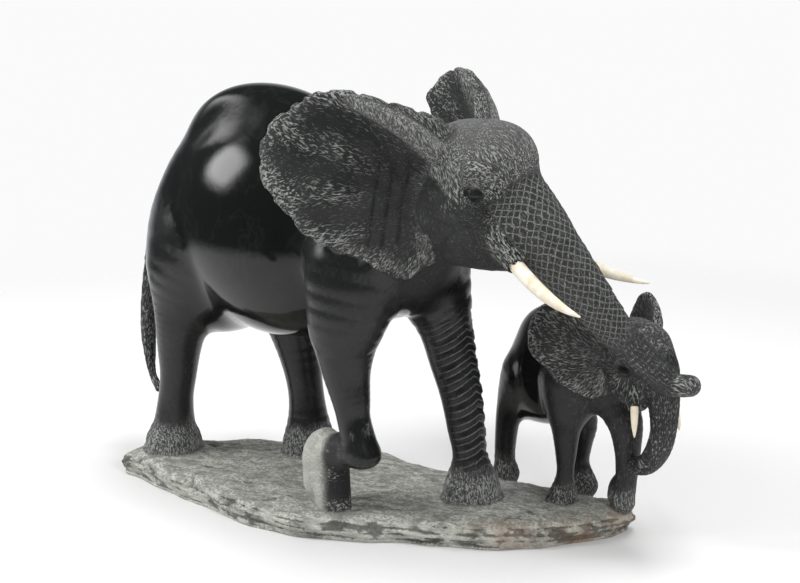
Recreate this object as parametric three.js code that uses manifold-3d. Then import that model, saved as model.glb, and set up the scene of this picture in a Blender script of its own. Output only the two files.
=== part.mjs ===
// A carved stone group: an elephant cow walks with her trunk laid over the forehead of her calf.
// Both animals and the rough slab under their feet are one block of dark stone. The four tusks are
// separate ivory-coloured pegs, each let into a blind socket in the stone.
// Millimetres, +X the way the cow walks, +Y her left, +Z up, z = 0 the flat underside.
import * as THREE from 'three';
import { edgeTable, triTable } from 'three/addons/objects/MarchingCubes.js';
import { mergeVertices } from 'three/addons/utils/BufferGeometryUtils.js';
import Module from 'manifold-3d';

// Driving dimensions.
const cowHeight = 424; // slab to the ridge of the back
const calfHeight = 208;
const slabLength = 590;
const slabWidth = 236;
const slabThickness = 30; // underside to the mean level of the top
const earThickness = 9;
const calfEarThickness = 7;
const tuskDiameter = 15;
const tuskLength = 104; // root to tip, 40 of it in the stone
const leftTuskLength = 114;
const calfTuskDiameter = 8;
const calfTuskLength = 31;
const socketClearance = 0.35;

// How finely the form is sampled and how many faces are kept.
const cell = 4;
const jointBlend = 3; // where the animals meet the slab and each other
const stoneFaces = 8300;
const ribPitch = 15; // folds of skin down the cow's left foreleg
const ribDepth = 1.8;
const trunkRingPitch = 13;
const trunkRingDepth = 1.1;

// Where each animal stands on the slab, and the way it faces.
const cow = { height: cowHeight, at: [50, -27], heading: 0 };
const calf = { height: calfHeight, at: [210, 107], heading: -15 };

// A frame is an origin and three axes: forward, left and up.
function frameAt(origin, heading, pitch = 0) {
  const turn = new THREE.Matrix4()
    .makeRotationZ(THREE.MathUtils.degToRad(heading))
    .multiply(new THREE.Matrix4().makeRotationY(THREE.MathUtils.degToRad(-pitch)));
  const [forward, left, up] = [0, 1, 2].map((i) => new THREE.Vector3().setFromMatrixColumn(turn, i));
  return { origin: new THREE.Vector3(...origin), forward, left, up };
}

function pointIn(frame, [f, l, u], scale = 1) {
  return frame.origin
    .clone()
    .addScaledVector(frame.forward, f * scale)
    .addScaledVector(frame.left, l * scale)
    .addScaledVector(frame.up, u * scale);
}

// Points along a Catmull-Rom curve through rows of numbers, each row a point and perhaps a radius.
function smoothRows(rows, steps, closed = false) {
  const count = rows.length;
  const row = (i) => (closed ? rows[(i + count) % count] : rows[Math.min(Math.max(i, 0), count - 1)]);
  const result = [];
  const spans = closed ? count : count - 1;
  for (let i = 0; i < spans; i++) {
    const [p, q, r, s] = [row(i - 1), row(i), row(i + 1), row(i + 2)];
    for (let j = 0; j < steps; j++) {
      const t = j / steps;
      result.push(
        q.map(
          (_, k) =>
            0.5 *
            (2 * q[k] +
              (r[k] - p[k]) * t +
              (2 * p[k] - 5 * q[k] + 4 * r[k] - s[k]) * t * t +
              (3 * q[k] - p[k] - 3 * r[k] + s[k]) * t * t * t),
        ),
      );
    }
  }
  if (!closed) result.push(rows[count - 1]);
  return result;
}

// A form is a signed distance with the box where it matters, and the blend that joins it to the rest.
function boxOf(points, margin) {
  return new THREE.Box3().setFromPoints(points).expandByScalar(margin);
}

function blob(frame, scale, centre, radii, blend, pitch = 0, cut = false) {
  const c = pointIn(frame, centre, scale);
  const tilt = THREE.MathUtils.degToRad(pitch);
  const [cos, sin] = [Math.cos(tilt), Math.sin(tilt)];
  const f = frame.forward.clone().multiplyScalar(cos).addScaledVector(frame.up, sin);
  const u = frame.up.clone().multiplyScalar(cos).addScaledVector(frame.forward, -sin);
  const l = frame.left;
  const [a, b, h] = radii.map((r) => r * scale);
  const reach = Math.max(a, b, h) + blend;
  const distance = (x, y, z) => {
    const [dx, dy, dz] = [x - c.x, y - c.y, z - c.z];
    const p = (dx * f.x + dy * f.y + dz * f.z) / a;
    const q = (dx * l.x + dy * l.y + dz * l.z) / b;
    const r = (dx * u.x + dy * u.y + dz * u.z) / h;
    const k0 = Math.hypot(p, q, r);
    const k1 = Math.hypot(p / a, q / b, r / h);
    return k1 < 1e-9 ? -Math.min(a, b, h) : (k0 * (k0 - 1)) / k1;
  };
  return { box: boxOf([c], reach), distance, blend, cut };
}

// A limb is a tapering round rod through joints. Each joint is a point in the frame and a radius.
// side squashes it across the frame's left axis. ribs are folds across its front: their pitch and
// depth, and the shares of its length where they start and end.
function limb(frame, scale, joints, blend, { side = 1, cut = false, ribs = null } = {}) {
  const rows = joints.map(([f, l, u, r]) => [...pointIn(frame, [f, l, u], scale).toArray(), r * scale]);
  const path = smoothRows(rows, 4);
  const n = frame.left;
  const stretch = 1 / (side * side) - 1;
  const sofar = [0];
  for (let i = 1; i < path.length; i++) {
    sofar.push(sofar[i - 1] + Math.hypot(...[0, 1, 2].map((k) => path[i][k] - path[i - 1][k])));
  }
  const long = sofar[path.length - 1];
  const distance = (x, y, z) => {
    let best = Infinity;
    let [place, front] = [0, 0];
    for (let i = 1; i < path.length; i++) {
      const [ax, ay, az, ra] = path[i - 1];
      const [bx, by, bz, rb] = path[i];
      const [ex, ey, ez] = [bx - ax, by - ay, bz - az];
      const [px, py, pz] = [x - ax, y - ay, z - az];
      const along = (px * ex + py * ey + pz * ez) / (ex * ex + ey * ey + ez * ez);
      const t = Math.min(1, Math.max(0, along));
      const [qx, qy, qz] = [px - ex * t, py - ey * t, pz - ez * t];
      const w = qx * n.x + qy * n.y + qz * n.z;
      const d = Math.sqrt(qx * qx + qy * qy + qz * qz + w * w * stretch) - (ra + (rb - ra) * t);
      if (d < best) {
        best = d;
        if (ribs) {
          const w2 = qx * frame.forward.x + qy * frame.forward.y + qz * frame.forward.z;
          front = Math.max(0, w2 * ribs.facing / (Math.hypot(qx, qy, qz) + 1e-6) + 0.25);
          place = sofar[i - 1] + t * (sofar[i] - sofar[i - 1]) - 0.45 * Math.abs(w);
        }
      }
    }
    if (ribs && place > ribs.from * long && place < ribs.to * long) {
      best += ribs.depth * Math.min(1, front) * (0.5 + 0.5 * Math.cos((2 * Math.PI * place) / ribs.pitch));
    }
    return best * Math.min(1, side);
  };
  const reach = Math.max(...rows.map((r) => r[3])) + blend;
  return { box: boxOf(path.map((p) => new THREE.Vector3(p[0], p[1], p[2])), reach), distance, blend, cut };
}

// Signed distance to a closed outline in its plane, negative inside.
function outlineDistance(outline, x, y) {
  let best = Infinity;
  let inside = false;
  for (let i = 0, j = outline.length - 1; i < outline.length; j = i++) {
    const [ax, ay] = outline[j];
    const [bx, by] = outline[i];
    const [ex, ey] = [bx - ax, by - ay];
    const [px, py] = [x - ax, y - ay];
    const t = Math.min(1, Math.max(0, (px * ex + py * ey) / (ex * ex + ey * ey)));
    const d = (px - ex * t) ** 2 + (py - ey * t) ** 2;
    if (d < best) best = d;
    if (ay > y !== by > y && x < ax + (ex * (y - ay)) / ey) inside = !inside;
  }
  return (inside ? -1 : 1) * Math.sqrt(best);
}

const smoothMin = (a, b, k) => {
  const h = Math.max(k - Math.abs(a - b), 0);
  return Math.min(a, b) - (h * h) / (4 * k);
};
const smoothMax = (a, b, k) => -smoothMin(-a, -b, k);

// An ear is a thin cupped sheet that stands back and out from the head. Its outline is given as
// distances back and up from its root, in shares of the animal's height.
function ear(head, scale, { root, spread, side, thickness, cup, outline }, blend) {
  const origin = pointIn(head, root, scale);
  const turn = THREE.MathUtils.degToRad(spread);
  const out = head.left.clone().multiplyScalar(side);
  const back = head.forward.clone().multiplyScalar(-Math.cos(turn)).addScaledVector(out, Math.sin(turn));
  const normal = out.multiplyScalar(Math.cos(turn)).addScaledVector(head.forward, Math.sin(turn));
  const up = head.up;
  const rim = smoothRows(outline.map(([u, v]) => [u * scale, v * scale]), 3, true);
  const distance = (x, y, z) => {
    const [dx, dy, dz] = [x - origin.x, y - origin.y, z - origin.z];
    const u = dx * back.x + dy * back.y + dz * back.z;
    const v = dx * up.x + dy * up.y + dz * up.z;
    const n = dx * normal.x + dy * normal.y + dz * normal.z;
    const across = Math.abs(n) - 4 * thickness;
    if (across > thickness) return across;
    const [s, t] = [u / (0.4 * scale), v / (0.25 * scale)];
    const wave = 0.006 * Math.sin(4.5 * t + 4 * s) * Math.max(s, 0);
    const bend = scale * (cup * s * (1 - s) - 0.012 * t * t + wave);
    const body = Math.abs(n - bend) - thickness * (0.5 + 0.3 * Math.max(0, 1 - 2 * Math.max(s, 0)));
    return 0.85 * smoothMax(body, outlineDistance(rim, u, v), thickness * 0.6);
  };
  const corners = [];
  for (const [u, v] of rim) {
    for (const n of [-4 * thickness, 4 * thickness]) {
      corners.push(origin.clone().addScaledVector(back, u).addScaledVector(up, v).addScaledVector(normal, n));
    }
  }
  return { box: boxOf(corners, blend + 2), distance, blend };
}

const cowEar = [
  [0.38, 0.1], [0.376, 0.04], [0.354, -0.005], [0.304, -0.056], [0.274, -0.09], [0.221, -0.119],
  [0.143, -0.146], [0.064, -0.183], [0.02, -0.2], [-0.02, -0.16], [-0.03, -0.07], [-0.045, 0.03],
  [-0.085, 0.12], [-0.07, 0.165], [-0.018, 0.193], [0.042, 0.217], [0.077, 0.226], [0.128, 0.24],
  [0.184, 0.249], [0.227, 0.246], [0.275, 0.224], [0.323, 0.187], [0.36, 0.148],
];
const calfEar = [
  [0.4, 0.05], [0.393, -0.007], [0.371, -0.063], [0.31, -0.1], [0.25, -0.13], [0.189, -0.16], [0.112, -0.19],
  [0.026, -0.217], [-0.03, -0.2], [-0.06, -0.1], [-0.07, 0.05], [-0.03, 0.17], [0.05, 0.22], [0.151, 0.243],
  [0.257, 0.235], [0.335, 0.19], [0.38, 0.12],
];

// The left ear reaches further back at its upper corner and less far below it.
const cowLeftEar = cowEar.map(([u, v]) => (u > 0.25 ? [u * (v > 0.12 ? 1.07 : 0.93), v] : [u, v]));

// A place on an ear's sheet, given back, up and outward from its root, as a joint in the head's frame.
function onSheet({ root, spread, side }, [u, v, n, radius]) {
  const turn = THREE.MathUtils.degToRad(spread);
  const forward = root[0] - u * Math.cos(turn) + n * Math.sin(turn);
  const left = root[1] + side * (u * Math.sin(turn) + n * Math.cos(turn));
  return [forward, left, root[2] + v, radius];
}

// Soft uneven lumps of a given size.
function lumps(x, y, s) {
  const across = Math.sin(x / s + 1.3 + 0.8 * Math.sin(y / s / 1.7));
  return across * Math.sin(y / s / 0.83 + 0.6 + 0.7 * Math.sin(x / s / 1.3));
}

// The slab: a long irregular outline with a rough top and hacked sides.
const slabTurn = 24;
const slabCentre = [0, 0];
const slabOutline = [
  [-0.51, 0.0], [-0.46, 0.2], [-0.37, 0.3], [-0.25, 0.4], [-0.1, 0.45], [0.0, 0.38], [0.09, 0.27],
  [0.2, 0.24], [0.32, 0.22], [0.42, 0.17], [0.49, 0.09], [0.5, -0.02], [0.44, -0.16], [0.37, -0.3],
  [0.26, -0.42], [0.12, -0.46], [0.0, -0.53], [-0.1, -0.53], [-0.21, -0.43], [-0.31, -0.29],
  [-0.4, -0.18], [-0.47, -0.07],
];

function slab() {
  const frame = frameAt([...slabCentre, 0], slabTurn);
  const outline = smoothRows(
    slabOutline.map(([u, v]) => {
      const p = pointIn(frame, [u * slabLength, v * slabWidth, 0]);
      return [p.x, p.y];
    }),
    4,
    true,
  );
  let [lastX, lastY, rim, top] = [NaN, NaN, 0, 0];
  const distance = (x, y, z) => {
    if (x !== lastX || y !== lastY) {
      [lastX, lastY] = [x, y];
      rim = outlineDistance(outline, x, y);
      top = slabThickness + 1.8 * lumps(x, y, 31) + 1.1 * lumps(y, x, 13) - 5 * Math.exp(rim / 14);
    }
    const side = rim + 2.6 * lumps(x + 2 * z, y - z, 15) + 0.3 * Math.abs(z - slabThickness * 0.45);
    return 0.9 * smoothMax(side, Math.max(z - top, -12 - z), 7);
  };
  const points = outline.map(([x, y]) => new THREE.Vector3(x, y, 0));
  points.push(new THREE.Vector3(slabCentre[0], slabCentre[1], slabThickness + 8));
  points.push(new THREE.Vector3(slabCentre[0], slabCentre[1], -16));
  return { box: boxOf(points, 8), distance, blend: 2 };
}

// The front end of the slab is hacked away underneath.
function undercut() {
  const frame = frameAt([...slabCentre, 0], slabTurn);
  const [l, w] = [slabLength, slabWidth];
  const edge = [[0.37, -0.36], [0.43, -0.24], [0.485, -0.1], [0.51, 0.04]];
  return { ...limb(frame, 1, edge.map(([u, v]) => [u * l, v * w, 0, 0.42 * slabThickness]), 5), cut: true };
}

// The cow.
const cowFrame = frameAt([...cow.at, slabThickness], cow.heading);
const cowHead = frameAt(pointIn(cowFrame, [0.27, 0.035, 0.815], cowHeight).toArray(), 13);
const calfFrame = frameAt([...calf.at, slabThickness], calf.heading);
const calfHead = frameAt(pointIn(calfFrame, [0.36, 0.04, 0.79], calfHeight).toArray(), -22, -8);

function torso(frame, scale, long, wide) {
  const s = scale;
  return [
    blob(frame, s, [-0.36 * long, 0, 0.65], [0.35 * long, 0.232, 0.295], 26),
    limb(frame, s, [
      [-0.6 * long, 0, 0.515, 0.2 * wide], [-0.6 * long, 0, 0.6, 0.188 * wide],
      [-0.59 * long, 0, 0.7, 0.155 * wide], [-0.575 * long, 0, 0.8, 0.108 * wide],
    ], 20),
    blob(frame, s, [-0.38 * long, 0, 0.86], [0.285 * long, 0.095, 0.142], 22),
    blob(frame, s, [0.0 * long, 0, 0.7], [0.2 * long, 0.2, 0.235], 26),
    limb(frame, s, [[0.04 * long, 0.01, 0.76, 0.17], [0.2, 0.03, 0.8, 0.14]], 24),
  ];
}

// Joints of each leg: forward, left, up and radius, in shares of the animal's height.
const cowLegs = {
  rightHind: [
    [-0.57, -0.09, 0.58, 0.13], [-0.612, -0.115, 0.44, 0.088], [-0.622, -0.125, 0.358, 0.07],
    [-0.635, -0.125, 0.285, 0.058], [-0.642, -0.125, 0.212, 0.049], [-0.655, -0.125, 0.141, 0.047],
    [-0.664, -0.125, 0.06, 0.058], [-0.668, -0.125, 0.0, 0.082],
  ],
  leftHind: [
    [-0.5, 0.085, 0.56, 0.14], [-0.445, 0.097, 0.4, 0.088], [-0.42, 0.099, 0.304, 0.062],
    [-0.392, 0.099, 0.195, 0.048], [-0.38, 0.099, 0.105, 0.052], [-0.375, 0.099, 0.0, 0.078],
  ],
  leftFront: [
    [0.03, 0.1, 0.6, 0.12], [0.075, 0.13, 0.45, 0.074], [0.104, 0.137, 0.344, 0.061],
    [0.131, 0.137, 0.263, 0.054], [0.149, 0.137, 0.178, 0.049], [0.163, 0.137, 0.1, 0.046],
    [0.17, 0.137, 0.0, 0.08],
  ],
  rightFront: [
    [0.02, -0.12, 0.62, 0.13], [0.012, -0.149, 0.489, 0.096], [0.006, -0.149, 0.438, 0.079],
    [0.009, -0.149, 0.362, 0.06], [0.025, -0.149, 0.289, 0.047], [0.034, -0.149, 0.24, 0.041],
    [0.055, -0.149, 0.175, 0.044],
  ],
};
const calfLegs = {
  rightHind: [
    [-0.4, -0.078, 0.56, 0.118], [-0.448, -0.108, 0.44, 0.086], [-0.469, -0.126, 0.36, 0.07],
    [-0.488, -0.131, 0.246, 0.06], [-0.497, -0.133, 0.093, 0.056], [-0.485, -0.13, 0.01, 0.072],
  ],
  leftHind: [
    [-0.25, 0.09, 0.52, 0.12], [-0.13, 0.1, 0.36, 0.075], [-0.13, 0.1, 0.24, 0.052],
    [-0.145, 0.1, 0.124, 0.048], [-0.115, 0.104, 0.01, 0.075],
  ],
  rightFront: [
    [0.0, -0.09, 0.62, 0.13], [0.0, -0.1, 0.49, 0.105], [0.0, -0.105, 0.383, 0.073],
    [0.002, -0.105, 0.25, 0.053], [0.0, -0.106, 0.14, 0.046], [-0.015, -0.11, 0.0, 0.085],
  ],
  leftFront: [
    [0.14, 0.07, 0.6, 0.12], [0.231, 0.087, 0.457, 0.09], [0.25, 0.092, 0.339, 0.07],
    [0.254, 0.093, 0.261, 0.062], [0.25, 0.09, 0.152, 0.055], [0.235, 0.09, 0.03, 0.06],
  ],
};

function legs(frame, scale, poses, folds = {}) {
  return Object.entries(poses).map(([name, joints]) => limb(frame, scale, joints, 14, { ribs: folds[name] }));
}

function cowForms() {
  const s = cowHeight;
  const h = cowHead;
  const shank = [[0.055, -0.149, 0.165, 0.04], [-0.01, -0.146, 0.15, 0.046], [-0.055, -0.143, 0.13, 0.05]];
  const foot = [[-0.06, -0.142, 0.14, 0.048], [-0.058, -0.142, 0.08, 0.05], [-0.045, -0.142, 0.0, 0.044]];
  const skinFolds = { pitch: ribPitch, depth: ribDepth, from: 0.2, to: 0.86, facing: 1 };
  const forms = [
    ...torso(cowFrame, s, 1, 1),
    ...legs(cowFrame, s, cowLegs, { leftFront: skinFolds }),
    // The bent right forefoot: wrist, shank turned back, and the foot on its toes with the sole behind.
    blob(cowFrame, s, [0.058, -0.149, 0.158], [0.054, 0.046, 0.036], 5),
    limb(cowFrame, s, shank, 5),
    limb(cowFrame, s, foot, 5),
    blob(cowFrame, s, [-0.085, -0.142, 0.092], [0.032, 0.06, 0.098], 5, -6),
    blob(cowFrame, s, [-0.084, -0.142, 0.132], [0.034, 0.062, 0.058], 5, -6),
    // Tail.
    limb(cowFrame, s, [
      [-0.77, 0, 0.7, 0.02], [-0.832, -0.005, 0.6, 0.024], [-0.868, -0.008, 0.49, 0.022],
      [-0.887, -0.01, 0.38, 0.022], [-0.894, -0.01, 0.3, 0.024], [-0.884, -0.02, 0.22, 0.02],
      [-0.85, -0.04, 0.15, 0.012], [-0.8, -0.06, 0.12, 0.012],
    ], 5),
    // Head.
    blob(h, s, [-0.01, 0, 0.042], [0.146, 0.122, 0.13], 18),
    blob(h, s, [0.055, 0, 0.085], [0.085, 0.095, 0.083], 14),
    blob(h, s, [0.02, 0, -0.075], [0.14, 0.105, 0.105], 20),
    limb(h, s, [[-0.02, 0, -0.11, 0.07], [0.07, 0, -0.135, 0.045], [0.12, 0, -0.165, 0.018]], 10),
  ];
  for (const side of [-1, 1]) {
    forms.push(limb(h, s, [[0.06, 0.055 * side, -0.06, 0.05], [0.14, 0.088 * side, -0.135, 0.026]], 10));
    // Brow, cheek bone, hollow temple, and the eye in its socket.
    const brow = [[-0.01, 0.1, 0.075, 0.02], [0.045, 0.1, 0.066, 0.026], [0.085, 0.084, 0.03, 0.02]];
    const cheek = [[-0.03, 0.112, -0.03, 0.02], [0.04, 0.108, -0.03, 0.024], [0.085, 0.092, -0.075, 0.02]];
    const mirrored = (joints) => joints.map(([f, l, u, r]) => [f, l * side, u, r]);
    forms.push(limb(h, s, mirrored(brow), 6));
    forms.push(limb(h, s, mirrored(cheek), 8));
    forms.push(blob(h, s, [-0.045, 0.142 * side, 0.055], [0.034, 0.026, 0.046], 6, 0, true));
    forms.push(blob(h, s, [0.044, 0.125 * side, 0.02], [0.031, 0.02, 0.017], 4, 0, true));
    forms.push(blob(h, s, [0.044, 0.108 * side, 0.02], [0.019, 0.014, 0.014], 2));
  }
  forms.push(
    limb(cowFrame, s, [
      [0.294, 0.042, 0.837, 0.102], [0.347, 0.057, 0.8, 0.094], [0.418, 0.064, 0.74, 0.084],
      [0.478, 0.085, 0.672, 0.07], [0.52, 0.112, 0.614, 0.06], [0.551, 0.148, 0.552, 0.051],
      [0.58, 0.189, 0.49, 0.042], [0.612, 0.226, 0.437, 0.037], [0.645, 0.25, 0.4, 0.034],
      [0.68, 0.264, 0.375, 0.03], [0.727, 0.269, 0.38, 0.026],
    ], 8, { ribs: { pitch: trunkRingPitch, depth: trunkRingDepth, from: 0.16, to: 0.97, facing: 1 } }),
  );
  const ears = [
    { root: [-0.1, -0.115, 0.0], spread: 20, side: -1, outline: cowEar },
    { root: [-0.062, 0.135, -0.008], spread: 40, side: 1, outline: cowLeftEar },
  ];
  for (const sheet of ears) forms.push(ear(h, s, { ...sheet, thickness: earThickness, cup: 0.14 }, 8));
  // Each ear's thick upper fold runs into the temple, and a crease parts the ear from the cheek.
  const fold = [
    [0.159, 0.228, 0.028, 0.01], [0.087, 0.2, 0.033, 0.016], [0.019, 0.16, 0.024, 0.022],
    [-0.039, 0.11, 0.011, 0.024],
  ];
  const crease = [
    [0.069, 0.125, 0.042, 0.007], [0.044, 0.075, 0.038, 0.012], [0.02, 0.03, 0.032, 0.013],
    [0.017, -0.03, 0.031, 0.013], [0.0, -0.08, 0.024, 0.012], [-0.016, -0.13, 0.015, 0.008],
  ];
  for (const sheet of ears) {
    forms.push(limb(h, s, fold.map((joint) => onSheet(sheet, joint)), 9));
    forms.push(limb(h, s, crease.map((joint) => onSheet(sheet, joint)), 4, { cut: true }));
  }
  return forms;
}

function calfForms() {
  const s = calfHeight;
  const h = calfHead;
  const forms = [
    ...torso(calfFrame, 0.95 * s, 0.7, 0.92),
    ...legs(calfFrame, s, calfLegs),
    blob(calfFrame, s, [0.2, 0.09, 0.085], [0.05, 0.07, 0.1], 4, -10),
    blob(h, s, [-0.02, 0, 0.06], [0.18, 0.165, 0.18], 12),
    blob(h, s, [0.08, 0, 0.12], [0.12, 0.13, 0.13], 10),
    blob(h, s, [0.0, 0, -0.08], [0.165, 0.13, 0.11], 12),
    limb(h, s, [[0.0, 0, -0.12, 0.08], [0.09, 0, -0.17, 0.03]], 6),
  ];
  for (const side of [-1, 1]) {
    forms.push(limb(h, s, [[0.1, 0.06 * side, -0.08, 0.06], [0.17, 0.09 * side, -0.13, 0.035]], 6));
    forms.push(blob(h, s, [0.1, 0.155 * side, 0.03], [0.045, 0.035, 0.03], 3, 0, true));
    forms.push(blob(h, s, [0.1, 0.128 * side, 0.03], [0.03, 0.024, 0.024], 1.5));
  }
  forms.push(
    limb(calfFrame, s, [
      [0.46, 0.05, 0.84, 0.12], [0.5, 0.062, 0.8, 0.11], [0.537, 0.074, 0.683, 0.085],
      [0.547, 0.077, 0.519, 0.066], [0.519, 0.069, 0.399, 0.063], [0.451, 0.061, 0.308, 0.054],
      [0.363, 0.058, 0.269, 0.045],
    ], 6),
  );
  const ears = [
    { root: [-0.1, -0.16, 0.02], spread: 32, side: -1 },
    { root: [-0.08, 0.16, 0.0], spread: 14, side: 1 },
  ];
  for (const sheet of ears) {
    forms.push(ear(h, s, { ...sheet, thickness: calfEarThickness, cup: 0.12, outline: calfEar }, 4));
  }
  return forms;
}

// Samples the forms on a grid, joining each to the last within its own box.
function sample(groups) {
  const whole = groups.flat().reduce((box, f) => (f.cut ? box : box.union(f.box)), new THREE.Box3());
  whole.expandByScalar(2 * cell);
  const low = whole.min.clone().divideScalar(cell).floor().multiplyScalar(cell);
  const size = whole.max.clone().sub(low).divideScalar(cell).ceil().addScalar(1);
  const [nx, ny, nz] = [size.x, size.y, size.z];
  const field = new Float32Array(nx * ny * nz).fill(1e3);
  const block = 4;
  const reach = (block * cell * Math.sqrt(3)) / 2;
  const carve = (into, form) => {
    const last = new THREE.Vector3(nx - 1, ny - 1, nz - 1);
    const from = form.box.min.clone().sub(low).divideScalar(cell).floor().max(new THREE.Vector3());
    const to = form.box.max.clone().sub(low).divideScalar(cell).ceil().min(last);
    const half = ((block - 1) / 2) * cell;
    const visit = (i0, j0, k0) => {
      const [x0, y0, z0] = [low.x + i0 * cell, low.y + j0 * cell, low.z + k0 * cell];
      const middle = form.distance(x0 + half, y0 + half, z0 + half);
      const far = Math.abs(middle) > 1.25 * reach + form.blend;
      if (far && (middle > 0 || form.cut)) return;
      for (let i = i0; i <= Math.min(i0 + block - 1, to.x); i++) {
        for (let j = j0; j <= Math.min(j0 + block - 1, to.y); j++) {
          for (let k = k0; k <= Math.min(k0 + block - 1, to.z); k++) {
            const at = (i * ny + j) * nz + k;
            const d = far ? middle : form.distance(low.x + i * cell, low.y + j * cell, low.z + k * cell);
            into[at] = form.cut ? smoothMax(into[at], -d, form.blend) : smoothMin(into[at], d, form.blend);
          }
        }
      }
    };
    for (let i = from.x; i <= to.x; i += block) {
      for (let j = from.y; j <= to.y; j += block) {
        for (let k = from.z; k <= to.z; k += block) visit(i, j, k);
      }
    }
  };
  for (const forms of groups) {
    const body = new Float32Array(field.length).fill(1e3);
    for (const form of forms) carve(body, form);
    for (let i = 0; i < field.length; i++) field[i] = smoothMin(field[i], body[i], jointBlend);
  }
  return { field, nx, ny, nz, low };
}

const corners = [[0, 0, 0], [1, 0, 0], [1, 1, 0], [0, 1, 0], [0, 0, 1], [1, 0, 1], [1, 1, 1], [0, 1, 1]];
const edges = [[0, 1], [1, 2], [3, 2], [0, 3], [4, 5], [5, 6], [7, 6], [4, 7], [0, 4], [1, 5], [2, 6], [3, 7]];

// Marching cubes over the sampled field, with shared vertices.
function polygonise({ field, nx, ny, nz, low }) {
  const points = [];
  const faces = [];
  const made = new Int32Array(field.length * 3).fill(-1);
  const index = (i, j, k) => (i * ny + j) * nz + k;
  const vertexOn = (i, j, k, e) => {
    const [a, b] = edges[e].map((c) => corners[c]);
    const axis = a[0] !== b[0] ? 0 : a[1] !== b[1] ? 1 : 2;
    const at = index(i + a[0], j + a[1], k + a[2]);
    const slot = at * 3 + axis;
    if (made[slot] < 0) {
      const va = field[at];
      const vb = field[index(i + b[0], j + b[1], k + b[2])];
      const t = Math.min(0.98, Math.max(0.02, va / (va - vb)));
      const p = [i + a[0], j + a[1], k + a[2]];
      p[axis] += t;
      made[slot] = points.length / 3;
      points.push(low.x + p[0] * cell, low.y + p[1] * cell, low.z + p[2] * cell);
    }
    return made[slot];
  };
  for (let i = 0; i < nx - 1; i++) {
    for (let j = 0; j < ny - 1; j++) {
      for (let k = 0; k < nz - 1; k++) {
        let code = 0;
        for (let c = 0; c < 8; c++) {
          if (field[index(i + corners[c][0], j + corners[c][1], k + corners[c][2])] < 0) code |= 1 << c;
        }
        if (!edgeTable[code]) continue;
        for (let t = code * 16; triTable[t] >= 0; t += 3) {
          faces.push([0, 2, 1].map((turn) => vertexOn(i, j, k, triTable[t + turn])));
        }
      }
    }
  }
  return { points, faces };
}

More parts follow.
